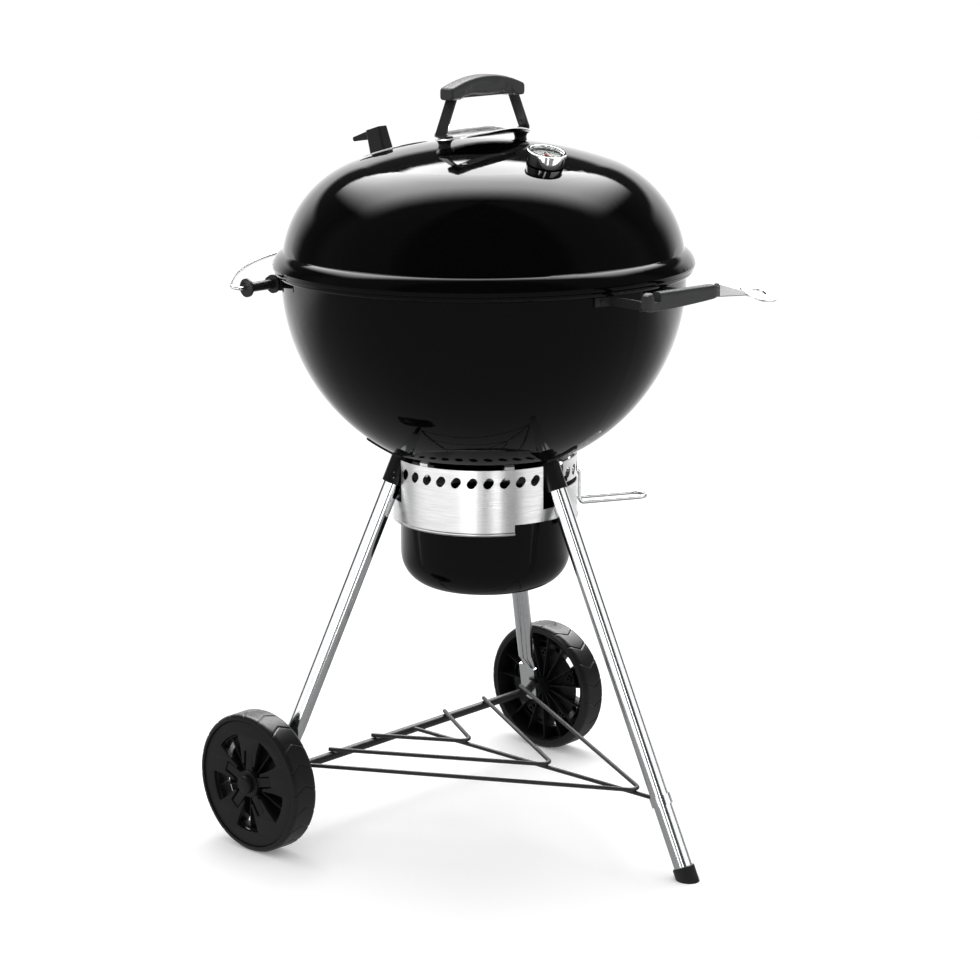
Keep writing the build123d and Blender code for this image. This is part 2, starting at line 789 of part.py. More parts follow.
for name, side in sides.items():
    azimuth, slope = legs[name]
    axis_up = leg_plane(azimuth, axle_z, slope)
    square = (Vector(0, 1, 0) - axis_up.z_dir * axis_up.z_dir.Y).normalized()
    foot = Plane(origin=axis_up.origin, x_dir=axis_up.z_dir.cross(square), z_dir=axis_up.z_dir)
    with BuildPart() as leg:
        add(leg_tube(azimuth, slope, foot.offset(leg_plate_rise + leg_taper).origin.Z))
        with BuildSketch(foot.offset(leg_plate_rise + leg_taper)):
            Circle(leg_radius)
        with BuildSketch(foot.offset(leg_plate_rise)):
            Ellipse(leg_plate_half, leg_plate / 2)
        loft()
        face_plane = Plane(origin=foot.origin - square * leg_plate / 2, x_dir=foot.x_dir, z_dir=square)
        with BuildSketch(face_plane):
            Circle(leg_plate_half)
            with Locations((0, leg_plate_rise / 2)):
                Rectangle(2 * leg_plate_half, leg_plate_rise)
        extrude(amount=leg_plate)
        with BuildSketch(Plane(origin=(axle_x, side * leg_y - 30, axle_z), z_dir=(0, 1, 0))):
            Circle(axle_radius + running_gap)
        extrude(amount=60, mode=Mode.SUBTRACT)
    save(leg, f"leg_{name}")

with BuildPart() as foot_cap:
    cap_plane = leg_plane(front_azimuth, 0, front_slope)
    with BuildSketch(cap_plane.offset(-cap_radius)):
        Circle(cap_radius)
    extrude(amount=cap_radius + cap_height)
    fillet(edges().sort_by(Axis.Z)[-1], 2)
    with BuildSketch(leg_plane(front_azimuth, cap_floor + 6, front_slope)):
        Circle(leg_radius + socket_gap)
    extrude(amount=cap_height * 2, mode=Mode.SUBTRACT)
    split(bisect_by=Plane.XY, keep=Keep.TOP)
save(foot_cap, "foot_cap")

# ---------------------------------------------------------------- wheels and axle
wheel_outer_y = wheel_track + wheel_width / 2
wheel_inner_y = wheel_track - wheel_width / 2
barrel_radius = wheel_radius - tyre_depth

with BuildPart() as axle:
    with BuildSketch(Plane(origin=(axle_x, -wheel_outer_y - 4, axle_z), z_dir=(0, 1, 0))):
        Circle(axle_radius)
    extrude(amount=2 * wheel_outer_y + 8)
    chamfer(edges().filter_by(GeomType.CIRCLE), 1)
save(axle, "axle")


def paddle_window():
    """Opening between two spokes: wide at the rim and pointed towards the hub."""
    half = 360 / spoke_count / 2 - spoke_angle / 2 + 8
    outer = barrel_radius - rim_barrel - 3
    with BuildSketch() as window:
        with BuildLine():
            arc = CenterArc((0, 0), outer, 90 - half, 2 * half)
            Polyline(arc @ 1, (0, window_inner), arc @ 0)
        make_face()
        fillet(vertices(), 3)
    return window.sketch


def paddle_notches():
    """Pair of slots that lighten one paddle."""
    with BuildSketch() as slots:
        with Locations((-notch_apart, notch_middle), (notch_apart, notch_middle)):
            SlotOverall(notch_long, notch_wide, rotation=90)
    return slots.sketch


window = paddle_window()
notches = paddle_notches()


for name, side in sides.items():
    inner = Plane(origin=(axle_x, side * wheel_inner_y, axle_z), x_dir=(1, 0, 0), z_dir=(0, side, 0))
    outer_face = inner.offset(wheel_width - wheel_face - 2)
    with BuildPart() as wheel:
        with BuildSketch(inner):
            Circle(barrel_radius)
            Circle(barrel_radius - rim_barrel, mode=Mode.SUBTRACT)
        extrude(amount=wheel_width - 1)
        with BuildSketch(outer_face):
            Circle(barrel_radius - rim_barrel)
        extrude(amount=wheel_face)
        with BuildSketch(inner.offset(-hub_proud)):
            Circle(hub_radius)
        extrude(amount=wheel_width + hub_proud)
        with BuildSketch(outer_face):
            for number in range(spoke_count):
                add(window, rotation=number * 360 / spoke_count)
                add(notches, rotation=(number + 0.5) * 360 / spoke_count)
        extrude(amount=wheel_face, mode=Mode.SUBTRACT)
        with BuildSketch(inner.offset(-hub_proud)):
            Circle(axle_radius + wheel_bore_gap)
        extrude(amount=2 * wheel_width, mode=Mode.SUBTRACT)
    save(wheel, f"wheel_{name}")

    with BuildPart() as tyre:
        with BuildSketch(Plane(origin=inner.origin, x_dir=(1, 0, 0), z_dir=(0, 0, 1))):
            with BuildLine():
                FilletPolyline(
                    (barrel_radius, 0),
                    (wheel_radius, 0),
                    (wheel_radius, side * wheel_width),
                    (barrel_radius, side * wheel_width),
                    radius=[5, 5],
                )
                Line((barrel_radius, side * wheel_width), (barrel_radius, 0))
            make_face()
        revolve(axis=Axis((axle_x, 0, axle_z), (0, 1, 0)))
    save(tyre, f"tyre_{name}")

    with BuildPart() as hub_cap:
        with BuildSketch(inner.offset(wheel_width + fit_gap)):
            Circle(13)
        extrude(amount=9)
        fillet(edges().group_by(Axis.Y)[-1 if side > 0 else 0], 3)
        with BuildSketch(inner.offset(wheel_width)):
            Circle(axle_radius + weld_gap)
        extrude(amount=5, mode=Mode.SUBTRACT)
    save(hub_cap, f"hub_cap_{name}")

# ---------------------------------------------------------------- wire rack
rack_z = axle_z + axle_radius + rack_wire + 0.2
spine_z = rack_z - 2 * rack_wire
spine_start = axle_x + axle_radius + rack_wire + fit_gap
clip_x = leg_plane(front_azimuth, spine_z, front_slope).origin.X - leg_radius * 1.1 - 2.8

with BuildPart() as wire_rack:
    with BuildLine():
        Line((spine_start, 0, spine_z), (clip_x, 0, spine_z))
    with BuildSketch(Plane(origin=(spine_start, 0, spine_z), z_dir=(1, 0, 0))):
        Circle(rack_wire)
    sweep()
    for spread, point in zip(rack_spread, rack_points):
        ends = [(axle_x - 4, -spread, rack_z), (point, 0, rack_z), (axle_x - 4, spread, rack_z)]
        with BuildLine():
            run = FilletPolyline(*ends, radius=12)
        with BuildSketch(Plane(origin=run @ 0, z_dir=run % 0)):
            Circle(rack_wire)
        sweep()
save(wire_rack, "wire_rack")

with BuildPart() as rack_clip:
    leg_at_rack = leg_plane(front_azimuth, spine_z, front_slope)
    with BuildSketch(leg_at_rack.offset(-7)):
        Circle(leg_radius + 2.2)
        Circle(leg_radius + weld_gap, mode=Mode.SUBTRACT)
    extrude(amount=14)
save(rack_clip, "rack_clip")

# ---------------------------------------------------------------- ash ring and ash bowl
ring_inside = ring_radius - ring_sheet
hook_back = ring_inside - fit_gap
lip_radius = hook_back - hook_sheet - fit_gap
ring_notch_z = socket_mouth_z - (ring_radius + leg_radius * 1.15 + 1.5 - leg_top_r) / wheel_slope


def band_sector(start, end, low, high, reach, clear=0.0):
    """Block over a stretch of the ring, for cutting its edge back, with a clear middle."""
    with BuildPart() as block:
        with BuildSketch(Plane.XY.offset(low)):
            with BuildLine():
                arc = CenterArc((0, 0), reach, start, end - start)
                Polyline(arc @ 1, (0, 0), arc @ 0)
            make_face()
        extrude(amount=high - low)
        if clear:
            with BuildSketch(Plane.XY.offset(low)):
                Circle(clear)
            extrude(amount=high - low, mode=Mode.SUBTRACT)
    return block.part


with BuildPart() as ash_ring:
    with BuildSketch(Plane.XY.offset(ring_bottom)):
        Circle(ring_radius)
        Circle(ring_inside, mode=Mode.SUBTRACT)
    extrude(amount=ring_top - ring_bottom)
    with BuildSketch(Plane.XZ):
        with Locations((ring_radius - ring_sheet / 2, ring_bottom + ring_bead)):
            Circle(ring_bead)
    revolve(axis=Axis.Z)
    for azimuth, slope in legs.values():
        with BuildSketch(radial_plane(azimuth).offset(-ring_notch_half)):
            with BuildLine():
                FilletPolyline(
                    (ring_inside - 20, ring_top + 8),
                    (ring_inside - 20, ring_notch_z),
                    (ring_radius + 20, ring_notch_z),
                    (ring_radius + 20, ring_top + 8),
                    radius=0,
                    close=True,
                )
            make_face()
        extrude(amount=2 * ring_notch_half, mode=Mode.SUBTRACT)
    add(band_sector(cut_start, cut_end, ring_bottom - 5, ring_bottom + cut_height, ring_radius * 1.2),
        mode=Mode.SUBTRACT)
    panel_start = -wheel_azimuth + (wheel_azimuth - (ring_holes - 1) * ring_hole_pitch) / 2
    for panel in range(3):
        for number in range(ring_holes):
            azimuth = panel_start + panel * 120 + number * ring_hole_pitch
            hole = Plane(origin=polar(ring_inside - 10, azimuth, ring_hole_z),
                         x_dir=Vector(-sin(radians(azimuth)), cos(radians(azimuth)), 0),
                         z_dir=polar(1, azimuth, 0))
            with BuildSketch(hole):
                SlotOverall(ring_hole_long, ring_hole_wide, rotation=50)
            extrude(amount=20, mode=Mode.SUBTRACT)
    slot_half = degrees(asin((lever_half + lever_wire + 2) / ring_radius))
    slot_low = lever_z - lever_wire - 1
    slot = band_sector(lever_azimuth - lever_back - slot_half, lever_azimuth + lever_forth + slot_half,
                       slot_low, slot_low + 2 * lever_wire + 2, ring_radius * 1.2)
    add(slot, mode=Mode.SUBTRACT)
save(ash_ring, "ash_ring")

with BuildPart() as ash_bowl:
    with BuildSketch(Plane.XZ):
        with BuildLine():
            FilletPolyline(
                (0, ash_bottom),
                (ash_radius - 2, ash_bottom),
                (ash_radius, ash_bottom + ash_corner),
                (ash_radius, ash_rim_z),
                (lip_radius, ash_rim_z),
                radius=[ash_corner * 0.9, 30, 2],
            )
            offset(amount=ash_sheet, side=Side.LEFT)
        make_face()
    revolve(axis=Axis.Z)
    notch_half = degrees(asin((hook_half + 1) / lip_radius))
    for number in range(hook_count):
        centre = hook_azimuth + ash_turn + number * 360 / hook_count
        add(band_sector(centre - notch_half, centre + notch_half, ash_rim_z - 4, ash_rim_z + 6,
                        ring_radius, ash_radius + ash_sheet + 1), mode=Mode.SUBTRACT)
save(ash_bowl, "ash_bowl")

# Hooks riveted inside the ring hold the ash bowl's lip; its notches pass them when it is turned.
with BuildPart() as ring_hooks:
    for number in range(hook_count):
        azimuth = hook_azimuth + number * 360 / hook_count
        ledge = ash_rim_z - fit_gap
        with BuildSketch(radial_plane(azimuth).offset(-hook_half)):
            with BuildLine():
                Polyline(
                    (hook_back, ledge - 8),
                    (hook_back, ledge + 9),
                    (hook_back - hook_sheet, ledge + 9),
                    (hook_back - hook_sheet, ledge),
                    (hook_back - hook_sheet - hook_ledge, ledge),
                    (hook_back - hook_sheet - hook_ledge, ledge - hook_sheet),
                    (hook_back - hook_sheet, ledge - hook_sheet - 1.5),
                    (hook_back - hook_sheet, ledge - 8),
                    close=True,
                )
            make_face()
        extrude(amount=2 * hook_half)
save(ring_hooks, "ring_hooks")

with BuildPart() as ring_brackets:
    for number in range(3):
        azimuth = -wheel_azimuth / 2 + number * 120
        for shift in (-28, 28):
            with BuildSketch(radial_plane(azimuth + shift).offset(-7)):
                with BuildLine():
                    reach = ring_inside - fit_gap
                    head = bowl_height(reach, -weld_gap - 0.3)
                    inner = ring_inside - 14
                    Polyline(
                        (reach, ring_top - 14),
                        (reach, head),
                        (inner, bowl_height(inner, -weld_gap - 0.3)),
                        (inner, bowl_height(inner, -weld_gap - 0.3) - 3),
                        (reach - 2, head - 3.5),
                        (reach - 2, ring_top - 14),
                        close=True,
                    )
                make_face()
            extrude(amount=14)
    add(bowl_outside, mode=Mode.SUBTRACT)
save(ring_brackets, "ring_brackets")

# ---------------------------------------------------------------- grates


def grate_outline(radius, bar, pitch, low_x, high_x):
    """Flat pattern of a grate: a round rim with parallel bars along Y between two X values."""
    with BuildSketch() as pattern:
        Circle(radius)
        Circle(radius - 2 * bar, mode=Mode.SUBTRACT)
        count = int((high_x - low_x) / pitch)
        first = (low_x + high_x - count * pitch) / 2
        for number in range(count + 1):
            x = first + number * pitch
            with Locations((x, 0)):
                Rectangle(2 * bar, 2 * sqrt((radius - bar)**2 - x**2))
    return pattern.sketch


coal_z = bowl_height(coal_radius, sheet) + coal_wire + 0.8
with BuildPart() as charcoal_grate:
    with BuildSketch(Plane.XY.offset(coal_z - coal_wire)):
        add(grate_outline(coal_radius, coal_wire, coal_pitch, -coal_radius + 16, coal_radius - 16))
    extrude(amount=2 * coal_wire)
    with BuildSketch(Plane.XY.offset(coal_z - 3 * coal_wire)):
        with Locations((0, -105), (0, 105)):
            Rectangle(2 * sqrt((coal_radius - 16)**2 - 105**2), 2 * coal_wire)
    extrude(amount=2 * coal_wire)
save(charcoal_grate, "charcoal_grate")


def wall_tabs(first, height, reach):
    """Four small ledges welded inside the bowl's wall, for a grate to rest on."""
    with BuildPart() as tabs:
        for azimuth in (first, 180 - first, 180 + first, -first):
            with BuildSketch(radial_plane(azimuth).offset(-10)):
                outer = wall_radius(height)
                with BuildLine():
                    Polyline(
                        (reach, height),
                        (outer + 6, height),
                        (outer + 6, height - 14),
                        (outer - 2, height - 14),
                        (reach, height - 3),
                        close=True,
                    )
                make_face()
            extrude(amount=20)
        add(bowl_inside, mode=Mode.INTERSECT)
    return tabs.part


def wall_radius(height):
    """Inside radius of the bowl's wall at a height."""
    return wall_centre_r + sqrt((bowl_wall_arc - sheet)**2 - (wall_centre_z - height)**2)


bowl_inside = bowl_blank(-sheet - weld_gap)

with BuildPart() as charcoal_tabs:
    add(wall_tabs(45, coal_z - coal_wire, coal_radius - 16))
save(charcoal_tabs, "charcoal_tabs")

# Each cooking ledge carries the middle part on one side of a hinge line and a flap on the other.
with BuildPart() as cooking_tabs:
    add(wall_tabs(degrees(acos(flap_line / (cook_radius - 6))), cook_z - cook_wire, cook_radius - 12))
save(cooking_tabs, "cooking_tabs")

middle_half = flap_line - flap_gap
grate_low = Plane.XY.offset(cook_z - cook_wire)
pattern = grate_outline(cook_radius, cook_wire, cook_pitch, -cook_radius + 16, cook_radius - 16)
with BuildPart() as cooking_grate:
    with BuildSketch(grate_low):
        add(pattern)
        Rectangle(2 * middle_half, 2 * cook_radius, mode=Mode.INTERSECT)
        for side in (-1, 1):
            x = side * (middle_half - cook_wire)
            with Locations((x, 0)):
                Rectangle(2 * cook_wire, 2 * sqrt((cook_radius - cook_wire)**2 - x**2))
    extrude(amount=2 * cook_wire)
    with BuildSketch(grate_low.offset(-2 * cook_wire)):
        with Locations((0, -110), (0, 110)):
            Rectangle(2 * middle_half, 2 * cook_wire)
    extrude(amount=2 * cook_wire)
save(cooking_grate, "cooking_grate")

flap_edge = flap_line + flap_gap
for name, side in (("back", -1), ("front", 1)):
    with BuildPart() as flap:
        with BuildSketch(grate_low):
            add(pattern)
            with Locations((side * (flap_edge + cook_radius / 2), 0)):
                Rectangle(cook_radius, 2 * cook_radius, mode=Mode.INTERSECT)
            x = side * (flap_edge + cook_wire)
            with Locations((x, 0)):
                Rectangle(2 * cook_wire, 2 * sqrt((cook_radius - cook_wire)**2 - x**2))
            for across in (-60, 60):
                end = sqrt((cook_radius - cook_wire)**2 - across**2)
                with Locations((side * (flap_edge + end) / 2, across)):
                    Rectangle(end - flap_edge, 2 * cook_wire)
        extrude(amount=2 * cook_wire)
    save(flap, f"grate_flap_{name}")

# Each flap swings on two clips folded over the middle part's outer bars.
with BuildPart() as flap_clips:
    clip_reach = flap_edge - fit_gap
    for side in (-1, 1):
        for across in (-90, 90):
            start = Plane(origin=(0, across + side * 7, 0), x_dir=(side, 0, 0), z_dir=(0, -side, 0))
            with BuildSketch(start):
                with BuildLine():
                    Polyline(
                        (middle_half - 2 * cook_wire, cook_z + cook_wire + 1.5),
                        (middle_half - 2 * cook_wire, cook_z + cook_wire),
                        (middle_half, cook_z + cook_wire),
                        (middle_half, cook_z - cook_wire),
                        (clip_reach, cook_z - cook_wire),
                        (clip_reach, cook_z + cook_wire + 1.5),
                        close=True,
                    )
                make_face()
            extrude(amount=14)
save(flap_clips, "flap_clips")

# ---------------------------------------------------------------- side handle
bracket_low = bracket_z - bracket_height / 2
grip_mid_z = (side_grip_low + side_grip_high) / 2
wall_x = sqrt(bowl_radius**2 - bracket_y**2)

with BuildPart() as side_grip:
    with BuildSketch(Plane(origin=(side_grip_x, 0, grip_mid_z), x_dir=(1, 0, 0), z_dir=(0, 1, 0))):
        RectangleRounded(side_grip_thick, side_grip_high - side_grip_low, 5)
    extrude(amount=side_grip_half, both=True)
    fillet(edges().group_by(Axis.Y)[0] + edges().group_by(Axis.Y)[-1], 2.5)
    with BuildSketch(Plane.XY.offset(side_grip_high + 1)):
        with Locations((side_grip_x + 4, -side_grip_half + 16)):
            RectangleRounded(side_grip_thick, 11, 2)
    extrude(amount=-15, mode=Mode.SUBTRACT)
    with BuildSketch(Plane(origin=(side_grip_x - side_grip_thick, 22, grip_mid_z), z_dir=(1, 0, 0))):
        Circle(4)
    extrude(amount=2 * side_grip_thick, mode=Mode.SUBTRACT)
save(side_grip, "side_grip")

arm_end_x = side_grip_x - side_grip_thick / 2
with BuildPart() as side_brackets:
    for side in (-1, 1):
        with BuildSketch(Plane.XY.offset(bracket_low)):
            with BuildLine():
                plate = CenterArc((0, 0), bowl_radius + weld_gap, side * plate_start,
                                  -side * plate_angle)
                outer = CenterArc((0, 0), bowl_radius + bracket_thick, side * plate_start,
                                  -side * (plate_angle - 0.7))
                Polyline(
                    plate @ 1,
                    (arm_end_x, side * (bracket_y - 2)),
                    (arm_end_x, side * (bracket_y + 9)),
                    (arm_end_x - 3, side * (bracket_y + 9)),
                    (arm_end_x - 3, side * (bracket_y + 1)),
                    outer @ 1,
                )
                Line(outer @ 0, plate @ 0)
            make_face()
        extrude(amount=bracket_height)
save(side_brackets, "side_brackets")

bolt_azimuth = plate_start - plate_angle / 2 + 0.6
with BuildPart() as side_bolts:
    for azimuth in (-bolt_azimuth, bolt_azimuth):
        wall = Plane(origin=polar(bowl_radius + bracket_thick, azimuth, bracket_z),
                     z_dir=polar(1, azimuth, 0))
        with BuildSketch(wall.offset(0.1)):
            Circle(3.6)
        extrude(amount=2, taper=20)
save(side_bolts, "side_bolts")

# The holder's arm leaves the grip's far end and carries a round plate with the thermometer's bore.
holder_plane = Plane(origin=(holder_x, holder_y, holder_z), x_dir=(cos(radians(holder_tilt)), 0,
                     -sin(radians(holder_tilt))), z_dir=(sin(radians(holder_tilt)), 0,
                     cos(radians(holder_tilt))))
with BuildPart() as thermometer_holder:
    with BuildSketch(Plane(origin=(side_grip_x, side_grip_half, grip_mid_z), x_dir=(1, 0, 0),
                           z_dir=(0, 1, 0))):
        RectangleRounded(10, 18, 3)
    with BuildSketch(Plane(origin=(holder_x - 12, holder_y - holder_radius + 6, holder_z + 1),
                           x_dir=(1, 0, 0), z_dir=(0.35, 1, 0))):
        RectangleRounded(20, 6, 2)
    loft()
    with BuildSketch(holder_plane.offset(-1.5)):
        Circle(holder_radius)
        Circle(holder_bore, mode=Mode.SUBTRACT)
    extrude(amount=3)
save(thermometer_holder, "thermometer_holder")

# ---------------------------------------------------------------- lid holder
hoop_plane = Plane(origin=(pivot_x, 0, pivot_z), x_dir=(-cos(radians(hoop_rise)), 0,
                   sin(radians(hoop_rise))), z_dir=(-sin(radians(hoop_rise)), 0,
                   -cos(radians(hoop_rise))))
hairpin_end = (
    hairpin_radius * (1 - cos(radians(hairpin_turn))),
    roller_outer_y + flange_thick + 2 + hairpin_radius * sin(radians(hairpin_turn)),
)
lean = radians(hairpin_turn - 90)
hoop_centre = hairpin_end[0] - hairpin_end[1] / tan(lean)
hoop_radius = hairpin_end[1] / sin(lean)
straight_end = roller_outer_y + flange_thick + 2
half_turn = radians(hairpin_turn / 2)

with BuildPart() as lid_holder_hoop:
    with BuildLine(hoop_plane):
        first = Line((0, -roller_inner_y + 6), (0, -straight_end))
        ThreePointArc(
            (0, -straight_end),
            (hairpin_radius * (1 - cos(half_turn)), -straight_end - hairpin_radius * sin(half_turn)),
            (hairpin_end[0], -hairpin_end[1]),
        )
        ThreePointArc(
            (hairpin_end[0], -hairpin_end[1]),
            (hoop_centre + hoop_radius, 0),
            hairpin_end,
        )
        ThreePointArc(
            hairpin_end,
            (hairpin_radius * (1 - cos(half_turn)), straight_end + hairpin_radius * sin(half_turn)),
            (0, straight_end),
        )
        Line((0, straight_end), (0, roller_inner_y - 6))
    with BuildSketch(Plane(origin=first @ 0, z_dir=first % 0)):
        Circle(hoop_wire)
    sweep()
save(lid_holder_hoop, "lid_holder_hoop")

for name, side in sides.items():
    start = Plane(origin=(pivot_x, side * roller_inner_y, pivot_z), z_dir=(0, side, 0))
    length = roller_outer_y - roller_inner_y
    with BuildPart() as roller:
        with BuildSketch(start):
            Circle(roller_radius)
        extrude(amount=length)
        for offset_y in (0, length - flange_thick):
            with BuildSketch(start.offset(offset_y)):
                Circle(flange_radius)
            extrude(amount=flange_thick)
        with BuildSketch(start.offset(-1)):
            Circle(hoop_wire + running_gap)
        extrude(amount=length + 2, mode=Mode.SUBTRACT)
    save(roller, f"roller_{name}")

with BuildPart() as lid_holder_brackets:
    for side in (-1, 1):
        with BuildSketch(Plane(origin=(pivot_x, side * (roller_inner_y - 1), pivot_z), x_dir=(1, 0, 0),
                               z_dir=(0, -side, 0))):
            SlotOverall(40, 18)
            Circle(hoop_wire + running_gap, mode=Mode.SUBTRACT)
        extrude(amount=4)
    add(bowl_outside, mode=Mode.SUBTRACT)
save(lid_holder_brackets, "lid_holder_brackets")
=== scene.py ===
import math

import bmesh
import bpy
from mathutils import Matrix, Vector


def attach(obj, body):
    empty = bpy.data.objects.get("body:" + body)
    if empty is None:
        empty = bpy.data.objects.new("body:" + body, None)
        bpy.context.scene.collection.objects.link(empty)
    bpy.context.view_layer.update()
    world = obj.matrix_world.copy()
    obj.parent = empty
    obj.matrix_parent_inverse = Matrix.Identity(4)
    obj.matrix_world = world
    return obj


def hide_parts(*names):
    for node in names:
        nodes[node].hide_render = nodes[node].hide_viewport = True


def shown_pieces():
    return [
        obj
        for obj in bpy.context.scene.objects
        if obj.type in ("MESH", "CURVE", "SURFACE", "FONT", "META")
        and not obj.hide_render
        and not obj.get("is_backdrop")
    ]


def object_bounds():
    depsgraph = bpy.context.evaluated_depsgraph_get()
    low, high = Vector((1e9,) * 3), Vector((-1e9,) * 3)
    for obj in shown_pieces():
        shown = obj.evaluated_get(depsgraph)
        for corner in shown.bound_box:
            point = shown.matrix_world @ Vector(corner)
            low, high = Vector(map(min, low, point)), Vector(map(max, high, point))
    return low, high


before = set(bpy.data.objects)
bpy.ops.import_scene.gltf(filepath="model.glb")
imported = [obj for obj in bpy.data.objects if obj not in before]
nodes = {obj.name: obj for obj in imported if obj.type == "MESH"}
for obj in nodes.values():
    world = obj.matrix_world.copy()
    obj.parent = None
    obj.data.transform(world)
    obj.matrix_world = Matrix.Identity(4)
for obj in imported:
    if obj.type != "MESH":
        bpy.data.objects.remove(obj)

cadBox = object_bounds()


# small steps that every node tree below uses
def addNode(tree, kind, x=0, y=0, **settings):
    node = tree.nodes.new(kind)
    node.location = (x, y)
    for key, value in settings.items():
        setattr(node, key, value)
    return node


def feed(tree, value, socket):
    # a number sets the socket, anything else is linked to it
    if isinstance(value, bpy.types.NodeSocket):
        tree.links.new(value, socket)
    else:
        socket.default_value = value


def doMath(tree, operation, first, second=0.0, clamp=False):
    node = addNode(tree, "ShaderNodeMath", operation=operation, use_clamp=clamp)
    feed(tree, first, node.inputs[0])
    feed(tree, second, node.inputs[1])
    return node.outputs[0]


def ramp(tree, value, low, high, start=0.0, end=1.0):
    node = addNode(tree, "ShaderNodeMapRange", interpolation_type="SMOOTHSTEP")
    for socket, number in (("Value", value), ("From Min", low), ("From Max", high),
                           ("To Min", start), ("To Max", end)):
        feed(tree, number, node.inputs[socket])
    return node.outputs["Result"]


def mixColour(tree, factor, first, second):
    node = addNode(tree, "ShaderNodeMix", data_type="RGBA")
    feed(tree, factor, node.inputs["Factor"])
    feed(tree, first, node.inputs["A"])
    feed(tree, second, node.inputs["B"])
    return node.outputs["Result"]


def newGroup(name, inputs, outputs):
    group = bpy.data.node_groups.new(name, "ShaderNodeTree")
    for label, kind, value in inputs:
        group.interface.new_socket(name=label, in_out="INPUT", socket_type=kind).default_value = value
    for label, kind in outputs:
        group.interface.new_socket(name=label, in_out="OUTPUT", socket_type=kind)
    return group, addNode(group, "NodeGroupInput", -900), addNode(group, "NodeGroupOutput", 700)


def makeSurfaceGrain():
    # fine grain on object coordinates, stretched along the way the metal was drawn or brushed
    group, given, out = newGroup(
        "surfaceGrain",
        [("Stretch", "NodeSocketVector", (1.0, 1.0, 1.0)), ("Scale", "NodeSocketFloat", 400.0),
         ("Detail", "NodeSocketFloat", 3.0), ("Contrast", "NodeSocketFloat", 0.3)],
        [("Value", "NodeSocketFloat")])
    coords = addNode(group, "ShaderNodeTexCoord", -900, 300)
    stretch = addNode(group, "ShaderNodeVectorMath", -600, 200, operation="MULTIPLY")
    group.links.new(coords.outputs["Object"], stretch.inputs[0])
    group.links.new(given.outputs["Stretch"], stretch.inputs[1])
    noise = addNode(group, "ShaderNodeTexNoise", -300, 200)
    group.links.new(stretch.outputs[0], noise.inputs["Vector"])
    group.links.new(given.outputs["Scale"], noise.inputs["Scale"])
    group.links.new(given.outputs["Detail"], noise.inputs["Detail"])
    low = doMath(group, "SUBTRACT", 0.5, given.outputs["Contrast"])
    high = doMath(group, "ADD", 0.5, given.outputs["Contrast"])
    group.links.new(ramp(group, noise.outputs["Fac"], low, high), out.inputs["Value"])
    return group


def makeHandlingMarks():
    # wide soft patches where a surface was wiped or handled, and a few fine specks
    group, given, out = newGroup(
        "handlingMarks",
        [("Patch Scale", "NodeSocketFloat", 9.0), ("Speck Scale", "NodeSocketFloat", 260.0),
         ("Speck Size", "NodeSocketFloat", 0.08)],
        [("Patches", "NodeSocketFloat"), ("Specks", "NodeSocketFloat")])
    coords = addNode(group, "ShaderNodeTexCoord", -900, 300)
    patches = addNode(group, "ShaderNodeTexNoise", -300, 300)
    specks = addNode(group, "ShaderNodeTexVoronoi", -300, -100)
    for texture, size in ((patches, "Patch Scale"), (specks, "Speck Scale")):
        group.links.new(coords.outputs["Object"], texture.inputs["Vector"])
        group.links.new(given.outputs[size], texture.inputs["Scale"])
    group.links.new(ramp(group, patches.outputs["Fac"], 0.35, 0.7), out.inputs["Patches"])
    group.links.new(ramp(group, specks.outputs["Distance"], 0.0, given.outputs["Speck Size"], 1.0, 0.0),
                    out.inputs["Specks"])
    return group


surfaceGrain = makeSurfaceGrain()
handlingMarks = makeHandlingMarks()

